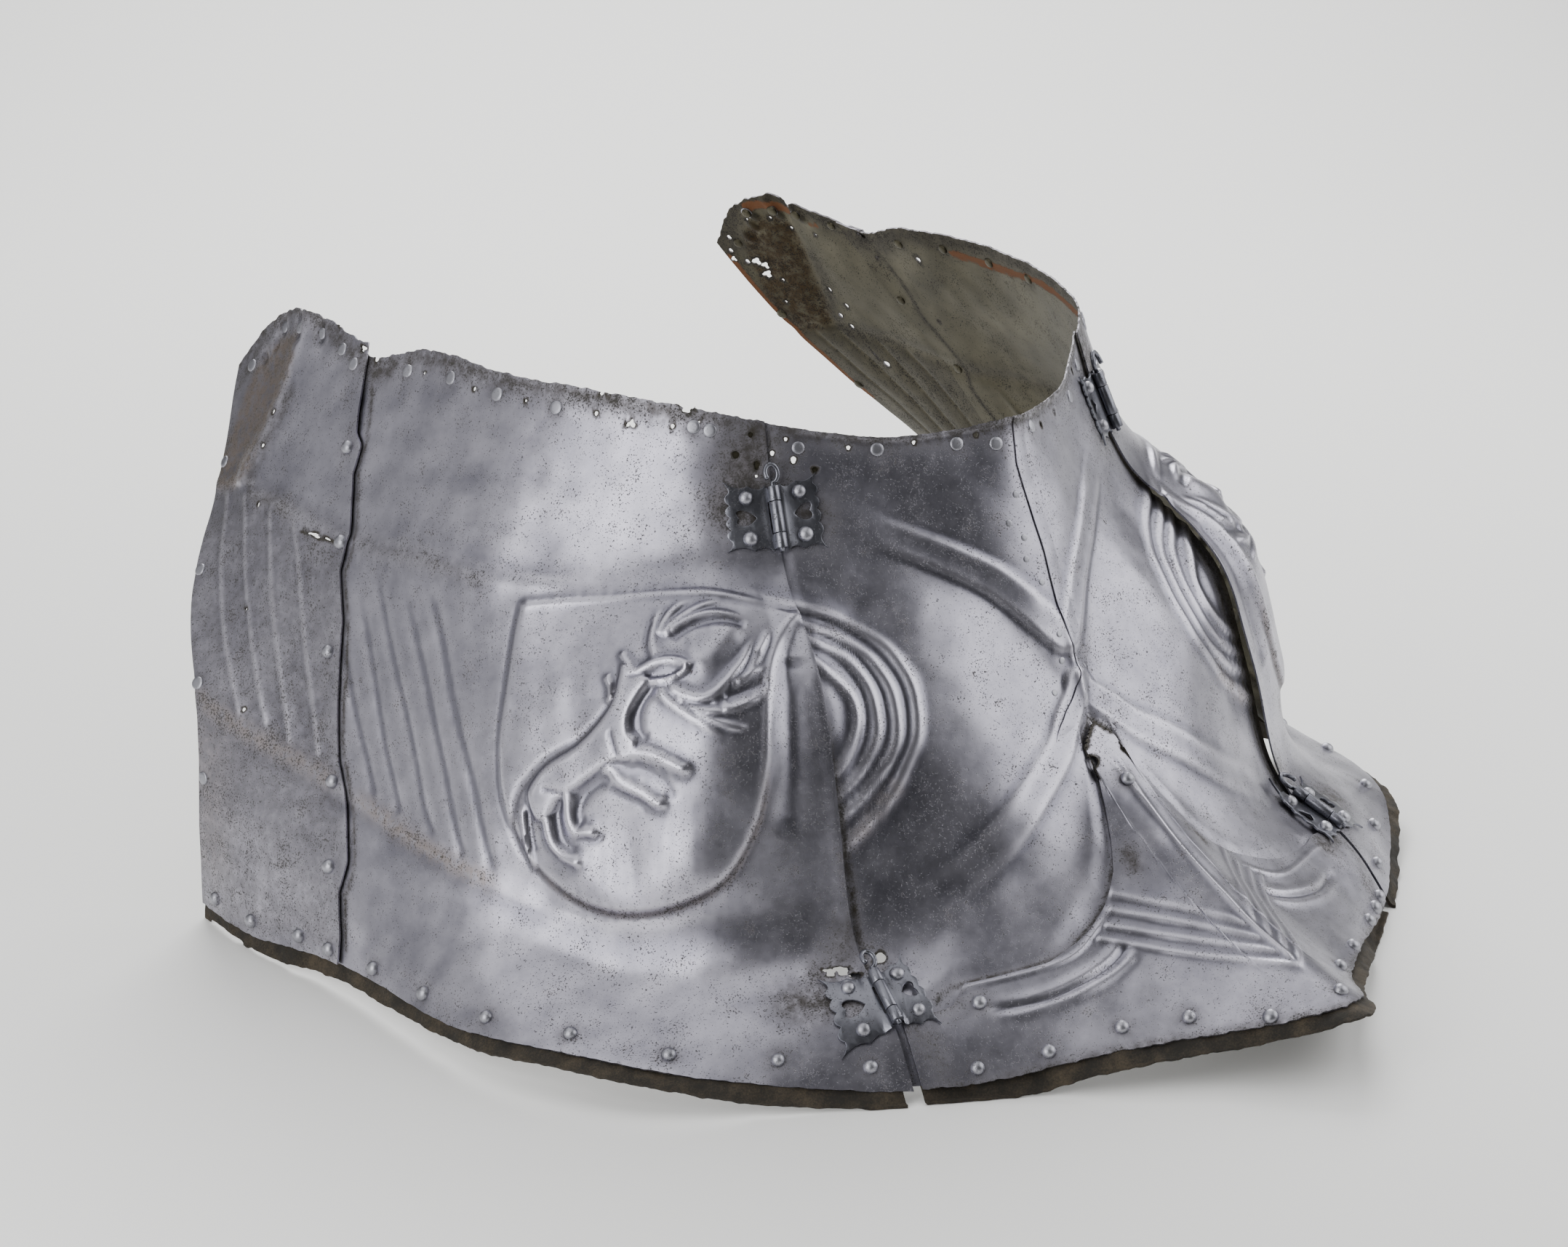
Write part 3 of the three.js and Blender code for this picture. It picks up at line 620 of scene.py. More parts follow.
# Sheets
@dataclass(frozen=True)
class Hole:
    """A hole in a sheet, or a bite out of its edge. Its radius is in millimetres."""

    place: Place
    radius: float
    stretch: float = 1.0
    turn: float = 0.0
    ragged: float = 0.06

    def distance(self, places: np.ndarray) -> np.ndarray:
        """How far places are from the hole's middle.

        Args:
            places: rows of (across, level).

        Returns:
            Distances as a share of the way to the hole's edge.
        """
        _, sideways, upward, _ = SHELL.frame([self.place[0]], [self.place[1]])
        right = sideways[0] / np.linalg.norm(sideways[0])
        up = upward[0] - right * (upward[0] @ right)
        up /= np.linalg.norm(up)
        offset = (places - self.place) @ np.array([sideways[0], upward[0]])
        x, y = offset @ right, offset @ up
        angle = math.radians(self.turn)
        x, y = x * math.cos(angle) + y * math.sin(angle), y * math.cos(angle) - x * math.sin(angle)
        x = x / self.stretch
        around = np.arctan2(y, x)
        edge = self.radius * (1 + self.ragged * np.sin(3 * around + self.turn)
                              + 0.6 * self.ragged * np.sin(5 * around + 2 * self.turn))
        return np.hypot(x, y) / edge


def holes(side: Side, *rows: tuple[float, ...]) -> tuple[Hole, ...]:
    """Holes of one side from rows of (out, level, radius, then stretch, turn and ragged)."""
    return tuple(Hole((side.value * row[0], row[1]), *row[2:]) for row in rows)


def spaced(*runs: tuple[float, float, int]) -> np.ndarray:
    """Values along a line, from runs of (start, end, number of cells)."""
    parts = [np.linspace(start, end, cells + 1)[:-1] for start, end, cells in runs]
    return np.concatenate([*parts, [runs[-1][1]]])


def plain_lift(height: float) -> Callable[[np.ndarray, np.ndarray], np.ndarray]:
    """A lift that is the same everywhere."""
    return lambda out, level: np.full(len(out), height)


def uneven(across: np.ndarray, size: float, seed: int) -> np.ndarray:
    """The wander of a hand-cut edge: slow and quick waves of about a size."""
    draw = np.random.default_rng(SEED + seed)
    rates = ((2.1, 0.5), (5.3, 0.4), (11.0, 0.35), (23.0, 0.35), (41.0, 0.3), (67.0, 0.25))
    return size * sum(share * np.sin(across * rate + draw.random() * 6.3) for rate, share in rates)


# How dark the painted shadow and grime round rivets and holes are, and how far in millimetres they
# reach
RIVET_SHADOW_AND_GRIME, RIVET_REACH = 0.85, 9.0
HOLE_SHADE_AND_GRIME, HOLE_REACH = 1.2, 3.0


@dataclass
class Sheet:
    """A thin piece that follows the shell: a grid bent to the surface and given a thickness.

    columns are places across the shell, rows are shares of the height between the two
    levels that span gives, and lift is how far the outer face stands off the shell. marks
    are attributes that the finishes read, and rivets are places ringed by painted shadow and
    grime.
    """

    name: str
    body: str
    nodes: tuple[str, ...]
    columns: np.ndarray
    rows: np.ndarray
    span: Callable[[np.ndarray], tuple[np.ndarray, np.ndarray]]
    lift: Callable[[np.ndarray, np.ndarray], np.ndarray]
    thickness: float
    relief: Relief | None = None
    waviness: Waviness = field(default_factory=Waviness)
    bend: Callable[[np.ndarray, np.ndarray], np.ndarray] | None = None
    holes: tuple[Hole, ...] = ()
    marks: dict[str, Relief] = field(default_factory=dict)
    rivets: tuple[Place, ...] = ()
    lowest: float = -1000.0
    bevel: float = 0.3

    def surface(self, places: np.ndarray) -> tuple[np.ndarray, np.ndarray, np.ndarray]:
        """The outer face at places of the shell.

        Args:
            places: rows of (across, level).

        Returns:
            Points in millimetres, outward normals, and the height of the relief alone.
        """
        half = np.stack([-np.abs(places[:, 0]), places[:, 1]], 1)
        point, _, _, normal = SHELL.frame(half[:, 0], half[:, 1])
        rise = np.zeros(len(places))
        if self.relief is not None:
            rise += self.relief.heights(point, half)
        flip = np.ones((len(places), 3))
        flip[places[:, 0] > 0, 0] = -1
        rise += self.waviness.heights(point * flip)
        lifted = point + normal * (rise + self.lift(-half[:, 0], half[:, 1]))[:, None]
        lifted[:, 2] = np.maximum(lifted[:, 2], self.lowest)
        return lifted * flip, normal * flip, rise

    def _attributes(self, places: np.ndarray, rise: np.ndarray,
                    edges: np.ndarray) -> dict[str, np.ndarray]:
        """Values for the finishes: wear on the ridges, and the marks.

        Args:
            places: rows of (across, level).
            rise: the height of the relief at each place.
            edges: pairs of neighbouring places.

        Returns:
            The values by attribute name.
        """
        half = np.stack([-np.abs(places[:, 0]), places[:, 1]], 1)
        point = SHELL.points(half)
        values = {"wear": np.clip(wear(rise, edges), -0.6, 0.6)}
        # The grime marks hold real grime mixed with painted shadow: along plate edges and gaps,
        # round rivets and holes, in some grooves and on the lower rear plate.
        for name in ("grime", "stain", "rust"):
            mark = self.marks.get(name)
            values[name] = mark.heights(point, half) if mark else np.zeros(len(places))
        flip = np.where(places[:, :1] > 0, -1.0, 1.0) * (1, 0, 0) + (0, 1, 1)
        # Round each rivet a painted shadow ring, mixed with grime.
        for place in self.rivets:
            centre = SHELL.points(np.array([place]))[0]
            away = np.linalg.norm(point * flip - centre, axis=1)
            dark = RIVET_SHADOW_AND_GRIME * np.exp(-(away / RIVET_REACH) ** 2)
            values["grime"] = np.maximum(values["grime"], dark)
        # Painted shade, mixed with grime, round the rim of each hole, so that the hole reads dark.
        for hole in self.holes:
            dark = HOLE_SHADE_AND_GRIME * smooth(1 + HOLE_REACH / hole.radius, 1 + 0.6 / hole.radius,
                                       hole.distance(places))
            values["grime"] = np.maximum(values["grime"], dark)
        return values

    def build(self) -> bpy.types.Object:
        """Makes the sheet's object, with its wall and edges as modifiers."""
        bm = bmesh.new()
        across, up = len(self.columns) - 1, len(self.rows) - 1
        bmesh.ops.create_grid(bm, x_segments=across, y_segments=up, size=0.5)
        shares = np.array([v.co.xy for v in bm.verts]) + 0.5
        place = np.interp(shares[:, 0], np.linspace(0, 1, across + 1), self.columns)
        share = np.interp(shares[:, 1], np.linspace(0, 1, up + 1), self.rows)
        low, high = self.span(place)
        level = low + (high - low) * share
        if self.bend is not None:
            place = self.bend(place, level)
        for vert, x, y in zip(bm.verts, place, level):
            vert.co = (x, y, 0)
        if self.holes:
            self._punch(bm)
        places = np.array([v.co.xy for v in bm.verts])
        points, _, rise = self.surface(places)
        bm.verts.index_update()
        edges = np.array([[v.index for v in e.verts] for e in bm.edges])
        for vert, point in zip(bm.verts, points * MM):
            vert.co = point
        piece = new_piece(self.name, bm, self.body)
        for name, values in self._attributes(places, rise, edges).items():
            piece.data.attributes.new(name, "FLOAT", "POINT").data.foreach_set("value", values)
        wall = piece.modifiers.new("wall", "SOLIDIFY")
        wall.thickness = self.thickness * MM
        wall.offset = -1
        wall.use_even_offset = False
        wall.material_offset = 1
        edge = piece.modifiers.new("edge", "BEVEL")
        edge.width = self.bevel * MM
        edge.segments = 1
        edge.limit_method = "ANGLE"
        edge.angle_limit = math.radians(60)
        edge.harden_normals = True
        if self.nodes:
            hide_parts(*self.nodes)
        return piece

    def _punch(self, bm: bmesh.types.BMesh) -> None:
        """Cuts the holes while the sheet is still flat.

        Args:
            bm: the flat sheet, with places across the shell in x and levels in y.
        """
        centres = np.array([f.calc_center_median().xy for f in bm.faces])
        bm.faces.ensure_lookup_table()
        near: set[int] = set()
        for hole in self.holes:
            near.update(np.flatnonzero(hole.distance(centres) < 1 + 2.6 / hole.radius).tolist())
        edges = list({e for i in near for e in bm.faces[i].edges})
        bmesh.ops.subdivide_edges(bm, edges=edges, cuts=3, use_grid_fill=True)
        centres = np.array([f.calc_center_median().xy for f in bm.faces])
        bm.faces.ensure_lookup_table()
        rings, doomed = [], set()
        for hole in self.holes:
            inside = [bm.faces[i] for i in np.flatnonzero(hole.distance(centres) < 1)]
            rings.append(list({v for f in inside for v in f.verts}))
            doomed.update(inside)
        bmesh.ops.delete(bm, geom=list(doomed), context="FACES")
        for hole, ring in zip(self.holes, rings):
            ring = [v for v in ring if v.is_valid]
            if not ring:
                continue
            middle = Vector((*hole.place, 0))
            for vert, share in zip(ring, hole.distance(np.array([v.co.xy for v in ring]))):
                if 0.5 < share < 1.8:
                    vert.co = middle + (vert.co - middle) / share


def wear(rise: np.ndarray, edges: np.ndarray) -> np.ndarray:
    """Tells ridges from hollows.

    Args:
        rise: the height of each point.
        edges: pairs of neighbouring points.

    Returns:
        How far each point stands above its surroundings, about -0.5 to 0.5.
    """
    count = np.bincount(edges.ravel(), minlength=len(rise)).clip(1)
    level = rise.copy()
    for _ in range(8):
        total = np.bincount(edges[:, 0], level[edges[:, 1]], len(rise))
        total += np.bincount(edges[:, 1], level[edges[:, 0]], len(rise))
        level = 0.4 * level + 0.6 * total / count
    return (rise - level) / 0.9


def new_piece(name: str, bm: bmesh.types.BMesh, body: str) -> bpy.types.Object:
    """Turns a bmesh in metres into a smooth-shaded object.

    Args:
        name: the piece's name.
        bm: the bmesh, which is freed.
        body: the body that the piece rides on.

    Returns:
        The new object.
    """
    mesh = bpy.data.meshes.new(name)
    bm.to_mesh(mesh)
    bm.free()
    mesh.polygons.foreach_set("use_smooth", np.ones(len(mesh.polygons), bool))
    piece = bpy.data.objects.new(name, mesh)
    bpy.context.scene.collection.objects.link(piece)
    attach(piece, body)
    return piece


# Materials
def linear(colour: str) -> tuple[float, float, float, float]:
    """An sRGB hex colour as linear values with alpha 1."""
    parts = [int(colour[i:i + 2], 16) / 255 for i in (1, 3, 5)]
    return (*[c / 12.92 if c <= 0.04045 else ((c + 0.055) / 1.055) ** 2.4 for c in parts], 1.0)


def add_node(tree: bpy.types.NodeTree, kind: str, inputs: dict | None = None,
             **settings: object) -> bpy.types.Node:
    """Adds a shader node.

    Args:
        tree: the node tree.
        kind: the node's type without its ShaderNode prefix.
        inputs: values by socket name or index. A pair of a node and a socket name is a link.
        settings: the node's own properties.

    Returns:
        The new node.
    """
    node = tree.nodes.new("ShaderNode" + kind)
    for name, value in settings.items():
        setattr(node, name, value)
    for name, value in (inputs or {}).items():
        if isinstance(value, tuple) and isinstance(value[0], bpy.types.Node):
            tree.links.new(value[0].outputs[value[1]], node.inputs[name])
        else:
            node.inputs[name].default_value = value
    return node


def per_mm(size: float) -> float:
    """Scale of a pattern on Object coordinates whose features are size millimetres apart."""
    return 1000 / size


class Mixer:
    """A node tree under construction, with the few sums and mixes that the finishes use."""

    def __init__(self, name: str) -> None:
        """Starts an empty material."""
        self.material = bpy.data.materials.new(name)
        self.material.use_nodes = True
        self.tree = self.material.node_tree
        self.tree.nodes.clear()
        self.at = (add_node(self.tree, "TexCoord"), "Object")

    def noise(self, size: float, detail: float = 4.0, rough: float = 0.6) -> tuple:
        """Noise whose features are size millimetres apart, about 0.5 on average."""
        node = add_node(self.tree, "TexNoise", {
            "Vector": self.at, "Scale": per_mm(size), "Detail": detail, "Roughness": rough})
        return node, "Fac"

    def mark(self, name: str) -> tuple:
        """An attribute of the mesh."""
        return add_node(self.tree, "Attribute", attribute_name=name), "Fac"

    def add(self, value: tuple, times: float, other: tuple | float) -> tuple:
        """value * times + other."""
        return add_node(self.tree, "Math", {0: value, 1: times, 2: other},
                        operation="MULTIPLY_ADD"), 0

    def times(self, value: tuple, other: tuple) -> tuple:
        """The product of two values."""
        return add_node(self.tree, "Math", {0: value, 1: other}, operation="MULTIPLY"), 0

    def span(self, value: tuple, low: float, high: float, end: float = 1.0) -> tuple:
        """Maps low..high smoothly to 0..end."""
        return add_node(self.tree, "MapRange", {0: value, 1: low, 2: high, 3: 0.0, 4: end},
                        interpolation_type="SMOOTHSTEP"), 0

    def blend(self, share: tuple, first: tuple, second: str) -> tuple:
        """Blends a colour into another one."""
        node = add_node(self.tree, "MixRGB", {"Fac": share, "Color1": first,
                                              "Color2": linear(second)})
        return node, 0

    def finish(self, sockets: dict, height: tuple, depth: float) -> bpy.types.Material:
        """Adds the shader and its output, with a bump of some millimetres."""
        bump = add_node(self.tree, "Bump", {"Height": height, "Strength": 0.5,
                                            "Distance": depth * MM})
        shader = add_node(self.tree, "BsdfPrincipled", {**sockets, "Normal": (bump, 0)})
        add_node(self.tree, "OutputMaterial", {"Surface": (shader, 0)})
        return self.material


@dataclass(frozen=True)
class SteelFinish:
    """Forged plate steel, ground and oiled, with four centuries of pitting and handling.

    It gives the eye a cool grey sheen that is soft at its edges, peppered with dark pits
    that gather in patches. Hollows are dark with old grime, ridges are worn bright, and brown
    stains lie where water stood. Round rivets and holes, beside plate edges and gaps and in
    some grooves, painted shadow darkens the colour along with the grime.
    """

    name: str
    light: str = "#b9b7c2"
    dark: str = "#807f8a"
    pit: str = "#2a2823"
    brown: str = "#887b71"
    rust: str = "#7c4a26"
    roughness: float = 0.33
    pitting: float = 0.5
    staining: float = 0.35
    rusting: float = -1.6

    def material(self) -> bpy.types.Material:
        """Builds the material."""
        mix = Mixer(self.name)
        cloud, mottle = mix.noise(60, 5.0), mix.noise(8, 4.0, 0.65)
        grit, patch = mix.noise(1.5, 2.0, 0.6), mix.noise(26, 6.0, 0.8)
        # Tone: clouds and mottle together, with hollows dark and ridges bright
        tone = mix.add(mix.mark("wear"), 1.0, mix.add(cloud, 0.9, mix.add(mottle, 0.4, 0.3)))
        colour = mix.blend(mix.span(tone, 0.45, 1.45), linear(self.dark), self.light)
        brown = mix.add(mix.mark("stain"), 0.9, mix.span(patch, 0.55, 0.8, self.staining))
        brown = mix.times(brown, mix.span(mottle, 0.25, 0.6))
        colour = mix.blend(brown, colour, self.brown)
        # Grime and painted shadow (round rivets and holes, along plate edges and gaps) keep to the
        # dark parts of the mottle and darken the colour towards #37322b
        grime = mix.times(mix.mark("grime"), mix.span(mix.add(mottle, -1.0, 1.25), 0.3, 0.95))
        colour = mix.blend(grime, colour, "#37322b")
        # Pits: the grit's low end, where a patch or a stain lets it through
        spots = mix.add(patch, -0.55, mix.add(grime, -0.12, mix.add(brown, -0.1, grit)))
        low = 0.16 * self.pitting - 0.02
        pits = mix.span(spots, low + 0.04, low, 0.8)
        colour = mix.blend(pits, colour, self.pit)
        rust = mix.add(mix.mark("rust"), 1.6, mix.add(patch, 1.6, self.rusting - 1.0))
        rust = mix.span(mix.add(grit, 0.5, rust), 0.55, 1.0, 0.9)
        colour = mix.blend(rust, colour, self.rust)
        rough = mix.add(mottle, 0.1, mix.add(grime, 0.2, self.roughness - 0.05))
        rough = mix.add(pits, 0.3, mix.add(rust, 0.4, mix.add(brown, 0.15, rough)))
        metal = mix.add(pits, -0.6, mix.add(rust, -0.9, mix.add(grime, -0.45, 1.0)))
        height = mix.add(pits, -1.2, mix.add(rust, 1.5, mottle))
        return mix.finish({"Base Color": colour, "Metallic": metal, "Roughness": rough},
                          height, 0.12)


@dataclass(frozen=True)
class LeatherFinish:
    """Old vegetable-tanned hide with its flesh side out: matt, fibrous, brown with dark grime.

    It gives the eye a dry dark band below the bright steel.
    """

    name: str
    light: str = "#4e4435"
    dark: str = "#1d1a15"
    roughness: float = 0.92

    def material(self) -> bpy.types.Material:
        """Builds the material."""
        mix = Mixer(self.name)
        fibre, grime = mix.noise(1.6, 5.0, 0.7), mix.noise(26, 4.0)
        tone = mix.add(fibre, 0.8, grime)
        colour = mix.blend(mix.span(tone, 0.7, 1.35), linear(self.dark), self.light)
        return mix.finish({"Base Color": colour, "Roughness": self.roughness}, fibre, 0.8)


PLATE_STEEL = SteelFinish("ground_plate_steel")
INNER_STEEL = SteelFinish("rusty_forged_steel_inside", "#5e5a4b", "#3b382d", "#181510",
                          "#3f3222", "#6b4326", 0.5, 0.6, 0.5, -0.35)
HINGE_STEEL = SteelFinish("forged_hinge_steel", "#90919a", "#585960", "#23201c", "#4c4033",
                          "#6e4426", 0.34, 0.4, 0.25)
RIVET_STEEL = SteelFinish("domed_rivet_steel", "#b6b6bd", "#82828a", "#2b2822", "#5f5140",
                          "#6e4426", 0.42, 0.2, 0.3)
STRIP_LEATHER = LeatherFinish("flesh_side_hide")


class Finishes:
    """The materials, made once each."""

    def __init__(self) -> None:
        """Starts with none made."""
        self.made: dict[str, bpy.types.Material] = {}

    def give(self, piece: bpy.types.Object, slot: str, *finishes: object) -> None:
        """Gives a piece its materials."""
        for finish in finishes:
            if finish.name not in self.made:
                self.made[finish.name] = finish.material()
            piece.data.materials.append(self.made[finish.name])


# The plates
# The steel's thickness, and how far a plate stands off the one it laps, in millimetres
PLATE = 1.6
LAP = 2.4
FINISHES = Finishes()
# Darkening along the upper edge of all plates
TOP_BAND = (
    Stroke(((-0.5, 5.99), (2.0, 5.99), (4.0, 5.99), (6.0, 5.99), (8.0, 5.99), (10.0, 5.99),
            (11.2, 5.99)), 0.9, 11.0, Rise.ROUND, (0, 0)),
)
# The flange's upper edge as (across, level), and the breast plate's seam as (level, across)
FLANGE_EDGE = (
    (-3.95, 0.72), (-3.38, 0.88), (-3.1, 1.14), (-2.2, 1.11), (-1.65, 1.27), (-1.2, 1.48),
    (-0.89, 1.67), (-0.7, 1.85), (-0.52, 2.06), (-0.385, 2.27), (-0.37, 2.6), (-0.01, 2.93),
    (0.1, 2.81), (0.22, 2.67), (0.27, 2.58), (0.28, 2.3), (0.33, 2.0), (0.44, 1.78),
    (0.84, 1.63), (1.52, 1.45), (2.07, 1.27), (2.48, 1.2), (3.0, 1.2), (3.4, 1.22),
    (3.68, 1.15), (3.95, 0.9))
SEAM = (
    (2.77, -0.8), (3.03, -0.54), (3.4, -0.3), (3.73, -0.12), (3.92, 0.04), (4.1, 0.05),
    (4.43, -0.01), (4.9, -0.01), (5.3, -0.09), (5.61, -0.16), (5.95, -0.07), (6.0, -0.05))


@dataclass
class CentrePlate:
    """The breast plate between the two hinged sides, lapped behind its lower flange."""

    thickness: float = PLATE
    tuck: float = 1.9
    tail_tuck: float = 1.1
    edge: tuple[Place, ...] = (
        (0, 3.0), (0.14, 2.72), (0.3, 2.6), (0.38, 2.3), (0.6, 1.98), (0.85, 1.73), (1.2, 1.48),
        (1.65, 1.27), (2.2, 1.12), (3.1, 1.14), (3.5, 0.95), (3.95, 0.72))
    seam_step: float = 1.5
    grime: Relief = Relief((
        TOP_BAND + (
            Stroke(((4.05, 5.9), (4.0, 5.4), (4.02, 4.8)), 0.8, 26.0, Rise.ROUND, (0, 0.3)),
            Stroke(((4.1, 1.8), (3.9, 1.4)), 0.6, 22.0, Rise.ROUND, (0, 0)),
            Stroke(((4.1, 5.0), (3.45, 5.0)), 0.95, 22.0, Rise.ROUND, (0, 0)),
            # Painted shadow on the breast plate just above the flange's upper edge.
            Stroke(tuple((out, level + 0.03) for out, level in FLANGE_LINE), 1.0, 2.6,
                   Rise.ROUND, (0, 0)),
            # Painted shadow in the gap beside the side plate's curled front edge, from level 3 down
            # to 1.4.
            Stroke(((4.05, 3.6), (3.98, 3.0), (3.93, 2.4), (3.95, 1.9), (4.0, 1.4)), 1.1, 5.0)),))
    stain: Relief = Relief((
        (Stroke(((3.9, 2.42), (3.4, 2.6), (3.0, 2.75)), 0.5, 7.0), ),))

    def _low(self, across: np.ndarray) -> np.ndarray:
        """The level of its lower edge."""
        out = np.abs(across)
        behind = np.interp(out, *np.array(self.edge).T) - 0.36
        leg = smooth(3.2, 3.6, out)
        return behind * (1 - leg) + 0.06 * leg

    def _lift(self, out: np.ndarray, level: np.ndarray) -> np.ndarray:
        """How far its outer face stands off the shell."""
        over = level - np.interp(out, *np.array(self.edge).T)
        behind = self.tuck * smooth(0.3, 0.02, over)
        return self.thickness - behind - self.tail_tuck * smooth(JUNCTION - 0.2, JUNCTION, out)

    def _high(self, across: np.ndarray) -> np.ndarray:
        """The level of its worn upper edge."""
        return TOP + 0.02 + uneven(across, 0.008, 3)

    def build(self) -> Sheet:
        """Builds the plate and the lap of the seam down its middle."""
        right = holes(Side.RIGHT, (3.93, 5.69, 2.0, 0.8), (3.71, 5.87, 1.5), (3.63, 5.63, 2.8, 0.8),
                      (3.33, 5.52, 2.4), (2.74, 5.84, 1.7), (1.68, 5.92, 1.6), (0.75, 5.92, 1.6),
                      (3.82, 1.69, 4.4, 1.3, 30))
        left = holes(Side.LEFT, (0.95, 5.8, 2.4), (1.6, 5.79, 2.0), (3.2, 5.85, 2.4))
        sheet = Sheet(
            "breast_plate", "centre", ("centre_plate",),
            columns=spaced((-4.14, 4.14, 236)), rows=spaced((0, 1, 170)),
            span=lambda across: (self._low(across), self._high(across)),
            lift=self._lift, thickness=self.thickness, relief=CENTRE_RELIEF, holes=right + left,
            marks={"grime": self.grime, "stain": self.stain}, rivets=NECK_RIVETS)
        FINISHES.give(sheet.build(), "steel", PLATE_STEEL, INNER_STEEL)
        levels, across = np.array(SEAM).T

        def bend(column: np.ndarray, level: np.ndarray) -> np.ndarray:
            """Starts the columns at the seam."""
            return column + np.interp(level, levels, across)

        lap = Sheet(
            "breast_seam_lap", "centre", (), columns=spaced((0, 0.45, 16)),
            rows=spaced((0, 1, 170)),
            span=lambda column: (np.full(len(column), 2.77), self._high(column)),
            lift=lambda out, level: np.full(len(out), self.thickness), thickness=1.2,
            relief=CENTRE_RELIEF, bend=bend, bevel=0.2, marks={"grime": self.grime})
        surface = lap.surface

        def stepped(places: np.ndarray) -> tuple[np.ndarray, np.ndarray, np.ndarray]:
            """The lap stands proud at the seam and sinks away from it."""
            points, normals, rise = surface(places)
            past = places[:, 0] - np.interp(places[:, 1], levels, across)
            proud = self.seam_step * smooth(0.35, 0.02, past) - 0.25 * smooth(0.2, 0.45, past)
            proud -= 1.1 * smooth(2.95, 2.77, places[:, 1])
            return points + normals * proud[:, None], normals, rise

        lap.surface = stepped
        FINISHES.give(lap.build(), "steel", PLATE_STEEL, INNER_STEEL)
        return sheet


@dataclass
class LowerFlange:
    """The skirt riveted over the foot of the breast plate, with a cut finial at its top."""

    thickness: float = PLATE

    def build(self) -> Sheet:
        """Builds the flange."""
        bounds = np.array(FLANGE_EDGE).T
        teeth = tuple(Hole((-0.05 - 0.052 * i, 2.9 - 0.052 * i), 0.6, 2.6, 8.0, 0.0)
                      for i in range(7))
        teeth += tuple(Hole((0.06 + 0.045 * i, 2.85 - 0.06 * i), 0.5, 2.0, -20.0, 0.0)
                       for i in range(4))
        hooks = (Hole((-0.375, 2.42), 5.0, 1.35, 0.0, 0.0), Hole((0.285, 2.42), 3.0, 1.0, 0.0, 0.0))
        sheet = Sheet(
            "breast_flange", "centre", ("lower_flange",),
            columns=spaced((-3.94, -1.7, 56), (-1.7, 1.8, 160), (1.8, 3.94, 54)),
            rows=spaced((0, 1, 104)),
            span=lambda across: (0.01 + uneven(across, 0.012, 5), np.interp(across, *bounds)),
            lift=plain_lift(LAP + self.thickness), thickness=self.thickness,
            relief=FLANGE_RELIEF, holes=teeth + hooks, rivets=FLANGE_RIVETS, bevel=0.25,
            marks={"grime": Relief(((
                Stroke(((4.0, 0.9), (3.8, 0.4), (3.7, 0.1)), 0.5, 14.0, Rise.ROUND, (0, 0)),
                Stroke(((4.0, 1.02), (3.45, 1.02)), 0.95, 18.0, Rise.ROUND, (0, 0)),
                Stroke(((-0.3, 0.0), (1.5, 0.02), (3.9, 0.0)), 0.7, 6.0, Rise.ROUND, (0, 0)),
                Stroke(((0.6, 1.7), (0.66, 1.6)), 0.9, 9.0, Rise.ROUND, (0, 0)),),))})
        FINISHES.give(sheet.build(), "steel", PLATE_STEEL, INNER_STEEL)
        return sheet


